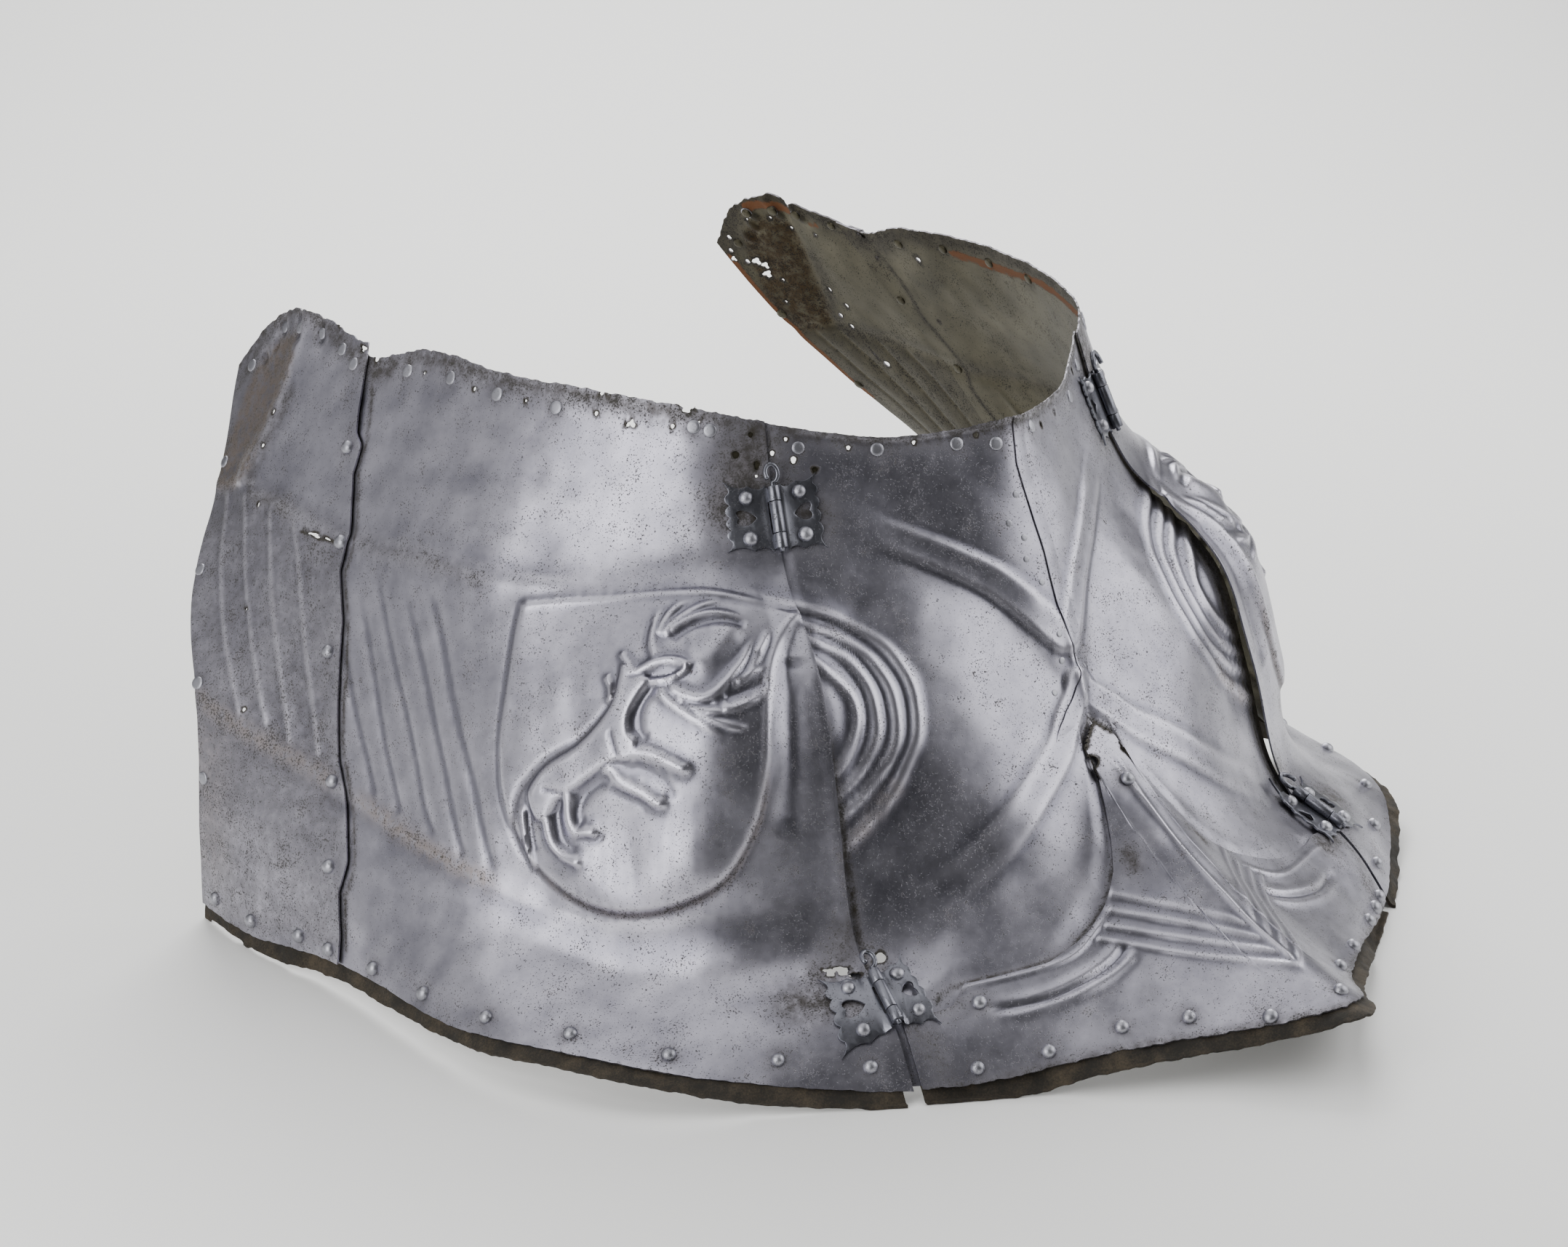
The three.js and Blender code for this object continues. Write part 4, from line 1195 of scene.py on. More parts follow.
@dataclass
class FlankPlate:
    """A side plate, whose front edge curls off the breast plate at the belly."""

    side: Side
    thickness: float = PLATE
    curl: float = 7.0
    flare: float = 1.6
    grime: Relief = Relief((
        TOP_BAND + (
            Stroke(((4.0, 5.95), (4.35, 5.6), (4.2, 5.2), (4.1, 4.75)), 0.95, 24.0, Rise.ROUND,
                   (0, 0.4)),
            Stroke(((4.05, 1.95), (4.3, 1.5), (4.5, 1.5)), 0.75, 18.0, Rise.ROUND, (0, 0.2)),
            Stroke(((4.1, 5.0), (4.6, 5.0)), 1.0, 22.0, Rise.ROUND, (0, 0)),
            Stroke(((4.1, 1.05), (4.6, 1.05)), 0.9, 20.0, Rise.ROUND, (0, 0)),
            Stroke(((9.05, 4.05), (8.4, 4.05), (7.6, 4.03), (6.9, 3.97)), 0.5, 9.0),
            # Darkening along the groove of the shield's foot, and painted shade in the groove along
            # the beast's back.
            Stroke(SHIELD_FOOT[6:], 0.5, 3.5), Stroke(FIGURE_LINES[0].places, 0.45, 3.0),
            Stroke(((9.2, 5.9), (8.6, 5.95)), 0.9, 14.0, Rise.ROUND, (0, 0)),
            # Painted shadow along the rear plate's front edge, on the side plate beneath it.
            Stroke(((8.86, 5.9), (8.86, 5.3), (8.95, 4.9), (8.9, 4.1), (9.02, 3.7), (8.92, 3.3),
                    (8.95, 2.6), (8.94, 2.2), (8.85, 1.9), (8.85, 1.3), (8.94, 0.9), (8.95, 0.2)),
                   1.0, 2.6, Rise.ROUND, (0, 0))),))
    stain: Relief = Relief((
        (Stroke(((8.9, 1.96), (8.1, 2.02), (7.5, 2.02), (6.9, 2.02)), 0.75, 8.0),
         Stroke(((4.3, 5.5), (4.5, 5.2)), 0.3, 22.0, Rise.ROUND, (0, 0)),
         Stroke(SHIELD_FOOT[7:], 0.4, 4.0)),))
    rust: Relief = Relief((
        (Stroke(((4.6, 5.9), (5.4, 5.82), (6.0, 5.86), (6.6, 5.83), (7.2, 5.82), (7.5, 5.84)),
                1.0, 7.0, Rise.ROUND, (0, 0.1)),
         Stroke(((8.4, 3.84), (8.9, 3.8)), 0.5, 7.0), Stroke(((4.1, 5.6), (4.0, 4.9)), 0.7, 8.0)),))

    def _lift(self, out: np.ndarray, level: np.ndarray) -> np.ndarray:
        """How far its outer face stands off the shell."""
        near = smooth(JUNCTION + 0.4, JUNCTION, out)
        height = smooth(1.5, 2.6, level) * smooth(4.6, 3.6, level)
        flare = self.flare * smooth(4.16, 4.0, out)
        return LAP + self.thickness + self.curl * near * height + flare * height

    def _holes(self) -> tuple[Hole, ...]:
        """Old strap holes, corroded holes and the cracks of the upper edge."""
        if self.side is Side.LEFT:
            return holes(self.side, (8.05, 5.68, 3.0), (8.92, 6.0, 3.0, 1.6, 20, 0.2),
                         (8.95, 5.74, 1.8), (8.69, 4.91, 1.2), (5.2, 5.8, 1.8))
        return holes(
            self.side, (7.91, 5.85, 1.6), (7.2, 5.84, 1.9), (6.66, 5.85, 1.4), (6.0, 5.83, 1.9),
            (5.66, 5.78, 2.8, 1.4, 10, 0.25), (5.22, 5.83, 1.8), (4.23, 5.87, 2.2),
            (4.46, 5.63, 3.0), (4.18, 5.54, 3.6, 0.7, 0, 0.1), (4.2, 5.42, 1.2),
            (4.29, 1.51, 4.2, 1.2, 0, 0.25), (4.2, 1.53, 4.6, 1.3, -20, 0.2),
            (4.12, 1.43, 4.0, 1.2, -40, 0.2), (4.33, 0.99, 2.6), (8.8, 6.07, 5.2, 0.75, 0, 0.15),
            (7.62, 6.05, 2.2, 0.5, 0, 0.2), (5.93, 6.05, 2.4, 1.6, 15, 0.3),
            (5.05, 6.05, 3.4, 1.5, 0, 0.3), (4.93, 5.9, 1.0, 3.0, 60, 0.1))

    def build(self) -> Sheet:
        """Builds the plate."""
        sign = self.side.value
        columns = sign * spaced((4.01, 4.2, 10), (4.2, 6.95, 152), (6.95, 9.2, 62))
        low, mid = 2.0 / TOP, 4.1 / TOP
        sheet = Sheet(
            f"{self.side.word}_side_plate", f"{self.side.word}_flank",
            (f"{self.side.word}_flank_plate",),
            columns=np.sort(columns), rows=spaced((0, low, 26), (low, mid, 146), (mid, 1, 28)),
            span=lambda across: (uneven(across, 0.01, 7),
                                 TOP + 0.05 + uneven(across, 0.012, 8 + sign)),
            lift=self._lift, thickness=self.thickness, relief=FLANK_RELIEF, holes=self._holes(),
            marks={"grime": self.grime, "stain": self.stain, "rust": self.rust},
            rivets=placed(self.side, FLANK_RIVETS + FLANK_TOP_RIVETS))
        FINISHES.give(sheet.build(), "steel", PLATE_STEEL, INNER_STEEL)
        return sheet


@dataclass
class RearExtension:
    """The rear piece of a side, riveted over its plate, with a wavy front edge."""

    side: Side
    thickness: float = PLATE
    notch: float = 0.17
    left_notch: float = 0.06
    spring: float = 1.5
    front: tuple[Place, ...] = (
        (0.0, 9.01), (0.42, 8.98), (0.94, 9.0), (1.31, 8.9), (1.97, 8.91), (2.18, 9.0),
        (2.62, 9.0), (3.31, 8.96), (3.71, 9.07), (4.11, 8.95), (4.89, 9.0), (5.23, 8.9),
        (5.33, 9.01), (5.53, 9.01), (6.0, 8.93))
    grime: Relief = Relief((
        TOP_BAND + (
            Stroke(((10.5, 5.9), (10.9, 5.6)), 0.8, 12.0, Rise.ROUND, (0, 0)),
            Stroke(((9.9, 5.4), (10.15, 4.8), (10.4, 4.15), (10.1, 4.05), (9.6, 4.0)), 0.7, 10.0),
            Stroke(((10.98, 5.5), (10.98, 3.0), (10.98, 1.0)), 0.5, 10.0, Rise.ROUND, (0, 0)),
            # Painted shade: the whole lower part of the rear plate, up to level 4, is darkened.
            Field(((8.9, 0.0), (8.9, 2.0), (8.9, 4.0), (10.0, 4.1), (11.1, 4.0), (11.1, 2.0),
                   (11.1, 0.0), (10.0, 0.0)), 0.42, 30.0)),))
    stain: Relief = Relief((
        (Field(((9.99, 5.78), (10.6, 5.62), (10.9, 4.95), (11.1, 4.2), (10.55, 4.14),
                (10.3, 4.62), (10.15, 5.04), (9.95, 5.5)), 0.95, 10.0),
         Stroke(((11.1, 2.1), (10.4, 2.04), (9.6, 2.0), (9.0, 1.97)), 0.7, 8.0),
         Stroke(((10.9, 1.6), (10.8, 0.6)), 0.3, 30.0, Rise.ROUND, (0, 0))),))
    rust: Relief = Relief((
        (Stroke(((10.3, 5.93), (10.0, 5.9), (9.75, 5.84)), 1.0, 8.0),
         Stroke(((10.97, 5.9), (10.98, 5.0), (10.98, 4.0), (10.96, 2.9)), 0.9, 6.0),
         Stroke(((9.5, 5.85), (9.65, 5.78)), 0.9, 6.0)),))

    def _lift(self, out: np.ndarray, level: np.ndarray) -> np.ndarray:
        """How far its outer face stands off the shell: most at its sprung front edge."""
        return 2 * LAP + self.thickness + self.spring * smooth(9.3, 8.9, out)

    def _holes(self) -> tuple[Hole, ...]:
        """Old strap holes, corroded holes and a tear."""
        if self.side is Side.LEFT:
            return holes(
                self.side, (10.78, 5.84, 2.6), (10.9, 5.72, 2.4), (10.8, 5.41, 2.6),
                (10.69, 5.33, 4.2, 1.2, 20, 0.2), (10.63, 5.22, 4.0, 1.0, 0, 0.25),
                (10.7, 5.1, 4.0, 1.3, 0, 0.25), (10.57, 4.94, 1.8), (10.77, 4.61, 1.6),
                (9.96, 5.59, 1.8), (10.13, 4.71, 3.0, 0.8), (10.07, 4.49, 3.0, 0.8),
                (10.28, 4.3, 2.8, 0.8), (10.26, 4.14, 2.8, 0.8), (10.18, 3.68, 3.6),
                (10.24, 3.78, 1.2, 3.4, 70, 0.2), (10.35, 5.8, 1.6), (10.07, 5.74, 1.6),
                (9.72, 6.0, 5.0, 1.2, 20, 0.25), (9.65, 5.66, 1.7), (10.95, 5.6, 3.0, 1.0, 0, 0.2))
        return holes(
            self.side, (10.15, 4.98, 2.2), (10.25, 4.59, 1.8), (10.24, 3.98, 2.6, 0.7),
            (10.22, 3.1, 1.6), (10.23, 2.22, 1.8), (9.45, 3.92, 1.5, 5.5, 4, 0.25),
            (9.27, 3.945, 0.8, 6.0, 2, 0.1), (9.0, 6.08, 3.0, 1.2, 0, 0.3),
            (9.4, 6.12, 2.6, 1.3, 0, 0.3))

    def build(self) -> Sheet:
        """Builds the extension."""
        sign = self.side.value
        notch = self.notch if self.side is Side.RIGHT else self.left_notch
        top = (np.array([9.0, 9.5, 10.0]), np.array([TOP + notch, TOP + 0.4 * notch, TOP]))
        levels, edge = np.array(self.front).T

        def bend(across: np.ndarray, level: np.ndarray) -> np.ndarray:
            """Moves the front columns to the wavy front edge."""
            wave = np.interp(level, levels, edge) - OVERLAP
            return across + sign * wave * smooth(9.5, 9.0, np.abs(across))

        sheet = Sheet(
            f"{self.side.word}_rear_plate", f"{self.side.word}_flank",
            (f"{self.side.word}_rear_extension",),
            columns=np.sort(sign * spaced((9.0, 11.0, 96))), rows=spaced((0, 1, 150)),
            span=lambda across: (uneven(across, 0.01, 9),
                                 np.interp(np.abs(across), *top) + uneven(across, 0.02, 12)),
            lift=self._lift, thickness=self.thickness, relief=FLANK_RELIEF, bend=bend,
            holes=self._holes(),
            marks={"grime": self.grime, "stain": self.stain, "rust": self.rust},
            rivets=placed(self.side, REAR_RIVETS + REAR_FLAT_RIVETS))
        FINISHES.give(sheet.build(), "steel", PLATE_STEEL, INNER_STEEL)
        return sheet


@dataclass
class LeatherStrip:
    """A strip of hide behind the lower edge of the steel."""

    name: str
    body: str
    node: str
    columns: np.ndarray
    thickness: float = 2.8
    drop: float = 15.0
    rise: float = 20.0

    def _span(self, across: np.ndarray) -> tuple[np.ndarray, np.ndarray]:
        """Levels of its frayed lower edge and of its hidden upper edge."""
        upward = SHELL.frame(across, np.full(len(across), 0.05))[2]
        length = np.linalg.norm(upward, axis=1)
        fray = uneven(across, 0.9, len(self.name))
        return -(self.drop + fray) / length, self.rise / length

    def _lift(self, out: np.ndarray, level: np.ndarray) -> np.ndarray:
        """How far its outer face stands off the shell."""
        if self.body == "centre":
            return 1.4 - 4.4 * smooth(2.3, 2.9, out)
        return 1.4 + LAP * smooth(9.3, 9.66, out)

    def build(self) -> Sheet:
        """Builds the strip."""
        sheet = Sheet(
            self.name, self.body, (self.node,), columns=self.columns, rows=spaced((0, 1, 16)),
            span=self._span, lift=self._lift, thickness=self.thickness,
            waviness=Waviness(0.9, 40.0, 6.0, 30), lowest=3.1, bevel=0.6)
        FINISHES.give(sheet.build(), "leather", STRIP_LEATHER, STRIP_LEATHER)
        return sheet


# Rivets
def placed(side: Side, places: Sequence[Place]) -> tuple[Place, ...]:
    """Places of one side, from places counted out from the keel."""
    return tuple((side.value * out, level) for out, level in places)


FLANK_RIVETS = ((8.65, 0.18), (8.09, 0.23), (7.28, 0.26), (6.45, 0.34), (5.59, 0.31), (4.78, 0.33),
                (4.25, 0.25))
FLANK_TOP_RIVETS = ((8.2, 5.88), (7.5, 5.86), (6.95, 5.85), (6.37, 5.83), (4.98, 5.86),
                    (4.78, 5.85))
REAR_RIVETS = ((10.74, 0.15), (10.14, 0.15), (9.48, 0.19), (9.11, 0.16), (9.11, 5.14), (9.06, 3.98),
               (9.14, 3.03), (9.07, 1.98), (9.12, 1.16))
REAR_FLAT_RIVETS = ((9.34, 5.93), (9.14, 5.9), (10.26, 5.87), (9.96, 5.84), (9.68, 5.89),
                    (10.72, 5.68), (10.95, 4.43), (10.94, 3.3), (10.95, 2.23), (10.92, 1.29))
NECK_RIVETS = ((-3.54, 5.78), (-2.26, 5.84), (-1.07, 5.85), (-0.46, 5.81), (0.51, 5.87),
               (2.49, 5.72), (3.6, 5.78))
SEAM_RIVETS = ((-0.56, 5.08), (-0.34, 5.0), (-0.4, 4.83), (-0.2, 4.69), (-0.21, 4.06),
               (-0.49, 3.54), (-0.58, 2.88), (-0.3, 5.35), (0.2, 3.93), (-0.16, 4.3))
FLANGE_RIVETS = ((-0.04, 2.1), (-3.06, 0.88), (-3.38, 0.17), (-2.66, 0.18), (-1.98, 0.25),
                 (-1.29, 0.23), (-0.68, 0.09), (0.09, 0.15), (1.2, 0.15), (2.04, 0.1),
                 (3.04, 0.1), (3.5, 0.12), (3.82, 0.12))
NECK_STRAP_HOLE = (-3.33, 5.52)
FLANK_STRAP_HOLES = ((4.23, 5.87), (4.46, 5.63), (4.18, 5.54))
HINGE_LEVELS = {Side.RIGHT: (5.0, 1.02), Side.LEFT: (5.19, 1.28)}


class Head(Enum):
    """Rivet heads as rows of (radius, height), from the rim on the steel to the middle."""

    DOMED = ((0.0, -0.6), (6.1, -0.6), (6.1, 0.3), (5.8, 1.9), (5.0, 3.3), (3.7, 4.4), (2.0, 5.1),
             (0.7, 5.3), (0.0, 5.32))
    HINGE = ((0.0, -0.6), (5.9, -0.6), (5.9, 0.3), (5.5, 1.8), (4.7, 3.1), (3.4, 4.0), (1.8, 4.6),
             (0.6, 4.8), (0.0, 4.82))
    FLAT = ((0.0, -0.8), (5.7, -0.8), (5.6, 0.5), (4.8, 1.1), (2.6, 1.3), (0.0, 1.3))
    FLUSH = ((0.0, -0.6), (3.0, -0.6), (3.0, 0.15), (2.5, 0.4), (1.2, 0.45), (0.0, 0.45))
    BACKING = ((0.0, -0.1), (6.0, -0.1), (6.0, 0.5), (0.0, 0.6))
    TAIL = ((0.0, -0.8), (5.2, -0.8), (5.0, 0.4), (4.0, 1.2), (2.2, 1.6), (0.0, 1.7))

    def add(self, bm: bmesh.types.BMesh, point: np.ndarray, normal: np.ndarray,
            draw: np.random.Generator) -> None:
        """Spins one head, a little out of true, in millimetres.

        Args:
            bm: the mesh that it joins.
            point: where its middle sits on the surface.
            normal: which way it faces.
            draw: source of its unevenness.
        """
        axis = Vector(normal) + Vector(draw.normal(size=3)) * 0.03
        axis.normalize()
        side = axis.orthogonal().normalized()
        size = 1 + 0.04 * draw.normal()
        verts = [bm.verts.new(Vector(point) + side * radius * size + axis * height)
                 for radius, height in self.value]
        edges = [bm.edges.new(pair) for pair in zip(verts[:-1], verts[1:])]
        bmesh.ops.spin(bm, geom=verts + edges, cent=point, axis=axis, angle=2 * math.pi,
                       steps=18, use_merge=True)


@dataclass
class Rivets:
    """All rivets of one body, in one piece."""

    name: str
    body: str

    def __post_init__(self) -> None:
        """Starts two empty meshes, for outer heads and for the tails inside."""
        self.bm, self.tails = bmesh.new(), bmesh.new()
        self.draw = np.random.default_rng(SEED + len(self.name))

    def add(self, sheet: Sheet, places: Sequence[Place], head: Head,
            behind: Sheet | None = None) -> None:
        """Adds a row of rivets.

        Args:
            sheet: the sheet that they sit on.
            places: where they are.
            head: the shape of their outer heads.
            behind: the innermost sheet that they hold, which carries their inner heads.
        """
        points, normals, _ = sheet.surface(np.array(places, float))
        for point, normal in zip(points, normals):
            head.add(self.bm, point, normal, self.draw)
        if behind is not None:
            points, normals, _ = behind.surface(np.array(places, float))
            for point, normal in zip(points, normals):
                Head.TAIL.add(self.tails, point - normal * behind.thickness, -normal, self.draw)

    def back(self, sheet: Sheet, places: Sequence[Place]) -> None:
        """Puts washers left from old straps behind holes of a sheet."""
        points, normals, _ = sheet.surface(np.array(places, float))
        for point, normal in zip(points, normals):
            Head.BACKING.add(self.tails, point - normal * sheet.thickness, -normal, self.draw)

    def build(self) -> None:
        """Makes the two objects."""
        for word, bm, finish in (("rivets", self.bm, RIVET_STEEL),
                                 ("rivet_tails", self.tails, INNER_STEEL)):
            bmesh.ops.remove_doubles(bm, verts=bm.verts, dist=0.02)
            bmesh.ops.recalc_face_normals(bm, faces=bm.faces)
            bmesh.ops.scale(bm, vec=(MM, MM, MM), verts=bm.verts)
            piece = new_piece(f"{self.name}_{word}", bm, self.body)
            piece.data.set_sharp_from_angle(angle=math.radians(50))
            FINISHES.give(piece, "steel", finish)


# Hinges
def bow(start: Place, control: Place, end: Place, steps: int = 6) -> list[Place]:
    """A bowed edge.

    Args:
        start: its first point.
        control: the point that it leans towards.
        end: where it ends.
        steps: how many points it has.

    Returns:
        Its points, without the end.
    """
    rows = []
    for i in range(steps):
        t = i / steps
        rows.append(tuple((1 - t) ** 2 * a + 2 * t * (1 - t) * b + t * t * c
                          for a, b, c in zip(start, control, end)))
    return rows


@dataclass
class Hinge:
    """A pierced and scalloped hinge over the gap between the breast plate and a side plate.

    b runs across the hinge from its pin, positive towards the side plate, a runs along the
    pin, and h is the height over the back of the leaves.
    """

    side: Side
    level: float
    upper: bool
    length: float = 50.0
    tip: float = 31.0
    width: float = 38.0
    scallop: float = 3.2
    leaf: float = 1.8
    seat: float = 1.15
    barrel: float = 5.0
    pin: float = 2.0
    gap: float = 0.6
    middle: float = 0.5
    ring: float = 6.5
    rivet: Place = (22.0, 18.0)
    inside: float = 2.75
    inside_lower: float = 6.3

    def __post_init__(self) -> None:
        """Works out the straight frame of the pin, on the right half."""
        point, side, up, normal = (row[0] for row in SHELL.frame([-JUNCTION], [self.level]))
        reach = self.length / 2 / np.linalg.norm(up)
        foot, head = SHELL.points(np.array([(-JUNCTION, self.level - reach),
                                            (-JUNCTION, self.level + reach)]))
        self.sideways, self.upward = -side, up
        self.axis = (head - foot) / np.linalg.norm(head - foot)
        across = np.cross(normal, self.axis)
        self.across = across / np.linalg.norm(across) * np.sign(across @ self.sideways)
        out = np.cross(self.axis, self.across)
        self.normal = out / np.linalg.norm(out) * np.sign(out @ normal)
        bulge = max(float((point - (foot + head) / 2) @ self.normal), 0.0)
        self.origin = (foot + head) / 2 + self.normal * bulge
        self.lift = LAP + PLATE + self.seat
        self.centre_lift = PLATE + self.seat if self.upper else self.lift
        self.rod = self.barrel + 0.8

    def points(self, local: np.ndarray) -> np.ndarray:
        """Places the hinge on the armour, straight at the pin and on the plate beyond it.

        Args:
            local: rows of (b, a, h).

        Returns:
            Points in millimetres.
        """
        b, a, h = local.T
        down = (self.centre_lift - self.lift) * smooth(self.barrel, self.width / 2, -b)
        h = h + self.lift + down
        straight = self.origin + np.outer(a, self.axis) + np.outer(b, self.across)
        straight = straight + np.outer(h, self.normal)
        flat = np.outer(a, self.axis) + np.outer(b, self.across)
        base = np.stack([self.sideways, self.upward], 1)
        share = flat @ np.linalg.pinv(base).T
        places = np.stack([-(JUNCTION + share[:, 0]), self.level + share[:, 1]], 1)
        fitted = SHELL.points(places, h)
        mix = smooth(self.barrel, self.barrel + 5, np.abs(b))[:, None]
        points = straight * (1 - mix) + fitted * mix
        return points * (self.side.value * -1, 1, 1)

    def _outline(self) -> list[Place]:
        """Outline of a leaf: two cusped ends with pointed corners, and a scalloped side."""
        start, peak = self.barrel + 0.6, 20.0
        notch = self.width - self.scallop
        top = bow((start, 27.0), (12.0, 22.0), (peak, 28.5))
        top += bow((peak, 28.5), (29.0, 23.5), (self.width + 1.0, self.tip + 3.0))
        top += bow((self.width + 1.0, self.tip + 3.0), (notch - 1.0, 27.0), (notch, 23.0), 4)
        scallops, step = [], 11.5
        for i in range(4):
            high = 23.0 - i * step
            scallops += bow((notch, high), (self.width + self.scallop, high - step / 2),
                            (notch, high - step), 5)
        bottom = [(b, -a) for b, a in reversed(top)]
        return top + scallops + [(notch, -23.0)] + bottom

    def _heart(self) -> list[Place]:
        """Outline of the heart that pierces a leaf, its point towards the pin."""
        rows = bow((15.5, 0.0), (21.0, 7.5), (27.0, 7.2), 5)
        rows += bow((27.0, 7.2), (33.0, 6.0), (28.5, 0.0), 6)
        return rows + [(28.5, 0.0)] + [(b, -a) for b, a in reversed(rows[1:])]

    def _leaf(self, sign: int, knuckles: Sequence[Place]) -> bmesh.types.BMesh:
        """A leaf and its knuckles, flat, with b in x, a in y and h in z.

        Args:
            sign: 1 for the side plate's leaf and -1 for the breast plate's.
            knuckles: where each knuckle starts and ends along the pin.

        Returns:
            The leaf, in millimetres, cut into strips so that it can bend to the plate.
        """
        bm = bmesh.new()
        for loop in (self._outline(), self._heart()):
            verts = [bm.verts.new((b, a, 0)) for b, a in loop]
            for pair in zip(verts, verts[1:] + verts[:1]):
                bm.edges.new(pair)
        bmesh.ops.triangle_fill(bm, use_beauty=True, use_dissolve=False, edges=bm.edges)
        cuts = [((b, 0, 0), (1, 0, 0)) for b in range(9, 34, 4)]
        cuts += [((0, a, 0), (0, 1, 0)) for a in range(-20, 21, 8)]
        for place, direction in cuts:
            bmesh.ops.bisect_plane(bm, geom=[*bm.verts, *bm.edges, *bm.faces], dist=1e-4,
                                   plane_co=place, plane_no=direction)
        new = bmesh.ops.extrude_face_region(bm, geom=bm.faces[:], use_keep_orig=True)["geom"]
        raised = [v for v in new if isinstance(v, bmesh.types.BMVert)]
        bmesh.ops.translate(bm, vec=(0, 0, self.leaf), verts=raised)
        bmesh.ops.recalc_face_normals(bm, faces=bm.faces)
        rim = [e for e in bm.edges if len(e.link_faces) == 2 and e.calc_face_angle() > 1.0
               and min(v.co.z for v in e.verts) > self.leaf / 2]
        bmesh.ops.bevel(bm, geom=rim, offset=0.4, segments=2, profile=0.5, affect="EDGES",
                        material=-1)
        for low, high in knuckles:
            turn = Matrix.Rotation(math.pi / 2, 4, "X")
            turn.translation = (0, (low + high) / 2, self.rod)
            rod = bmesh.ops.create_cone(bm, cap_ends=True, segments=24, radius1=self.barrel,
                                        radius2=self.barrel, depth=high - low, matrix=turn)
            caps = [e for e in {e for v in rod["verts"] for e in v.link_edges}
                    if e.calc_face_angle() > 1.0]
            bmesh.ops.bevel(bm, geom=caps, offset=0.35, segments=2, profile=0.5,
                            affect="EDGES", material=-1)
            wrap = bmesh.ops.create_cube(bm, size=1)["verts"]
            bmesh.ops.scale(bm, vec=(self.barrel + 1.2, high - low, self.leaf), verts=wrap)
            bmesh.ops.translate(bm, vec=((self.barrel + 1.2) / 2, (low + high) / 2,
                                         self.leaf / 2), verts=wrap)
        bmesh.ops.recalc_face_normals(bm, faces=bm.faces)
        if sign < 0:
            bmesh.ops.scale(bm, vec=(-1, 1, 1), verts=bm.verts)
        return bm

    def _finish(self, bm: bmesh.types.BMesh, name: str, body: str, node: str) -> None:
        """Bends a flat leaf to the plates and makes it an object.

        Args:
            bm: the flat leaf.
            name: the piece's name.
            body: the body that it rides on.
            node: the CAD node that it replaces.
        """
        points = self.points(np.array([v.co for v in bm.verts]))
        for vert, point in zip(bm.verts, points):
            vert.co = point
        bmesh.ops.scale(bm, vec=(MM, MM, MM), verts=bm.verts)
        bmesh.ops.recalc_face_normals(bm, faces=bm.faces)
        piece = new_piece(name, bm, body)
        piece.data.set_sharp_from_angle(angle=math.radians(38))
        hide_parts(node)
        FINISHES.give(piece, "hinge_steel", HINGE_STEEL)

    def _pin(self, name: str, body: str, node: str) -> None:
        """Makes the pin, a wire whose top is bent into an open loop.

        Args:
            name: the piece's name.
            body: the body that it rides on.
            node: the CAD node that it replaces.
        """
        neck = self.length / 2 + 3
        rows = [(0.0, a, self.rod) for a in np.linspace(-neck, neck, 12)]
        for i in range(1, 17):
            angle = i / 16 * math.radians(310)
            rows.append((-0.8 * self.ring * math.sin(angle),
                         neck + 1.1 * self.ring * (1 - math.cos(angle)), self.rod + 0.35 * i))
        points = self.points(np.array(rows)) * MM
        data = bpy.data.curves.new(name, "CURVE")
        data.dimensions = "3D"
        data.bevel_depth = self.pin * MM
        data.bevel_resolution = 4
        data.use_fill_caps = True
        spline = data.splines.new("POLY")
        spline.points.add(len(points) - 1)
        spline.points.foreach_set("co", np.column_stack([points, np.ones(len(points))]).ravel())
        wire = bpy.data.objects.new(name + "_wire", data)
        bpy.context.scene.collection.objects.link(wire)
        bm = bmesh.new()
        bm.from_mesh(bpy.data.meshes.new_from_object(
            wire.evaluated_get(bpy.context.evaluated_depsgraph_get())))
        bpy.data.objects.remove(wire)
        bmesh.ops.remove_doubles(bm, verts=bm.verts, dist=1e-6)
        bmesh.ops.recalc_face_normals(bm, faces=bm.faces)
        piece = new_piece(name, bm, body)
        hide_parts(node)
        FINISHES.give(piece, "hinge_pin", HINGE_STEEL)

    def build(self, centre: Rivets, flank: Rivets) -> None:
        """Builds the two leaves and the pin, and adds their rivets.

        Args:
            centre: the rivets of the breast plate.
            flank: the rivets of the side plate.
        """
        which = "upper" if self.upper else "lower"
        node = f"{self.side.word}_{which}_hinge"
        body = f"{self.side.word}_flank"
        half, middle = self.length / 2, self.middle * self.length / 2
        outer = ((-half, -middle - self.gap), (middle + self.gap, half))
        self._finish(self._leaf(1, outer), f"{node}_side_leaf", body, f"{node}_flank_leaf")
        self._finish(self._leaf(-1, ((-middle, middle),)), f"{node}_breast_leaf", "centre",
                     f"{node}_centre_leaf")
        self._pin(f"{node}_loop_pin", body, f"{node}_pin")
        for rivets, sign in ((flank, 1), (centre, -1)):
            for a in (-self.rivet[1], self.rivet[1]):
                base, above = self.points(np.array([(sign * self.rivet[0], a, self.leaf),
                                                    (sign * self.rivet[0], a, self.leaf + 1)]))
                Head.HINGE.add(rivets.bm, base, above - base, rivets.draw)
                below = self.inside if sign > 0 or self.upper else self.inside_lower
                Head.TAIL.add(rivets.tails, base - (above - base) * (self.leaf + below),
                                base - above, rivets.draw)


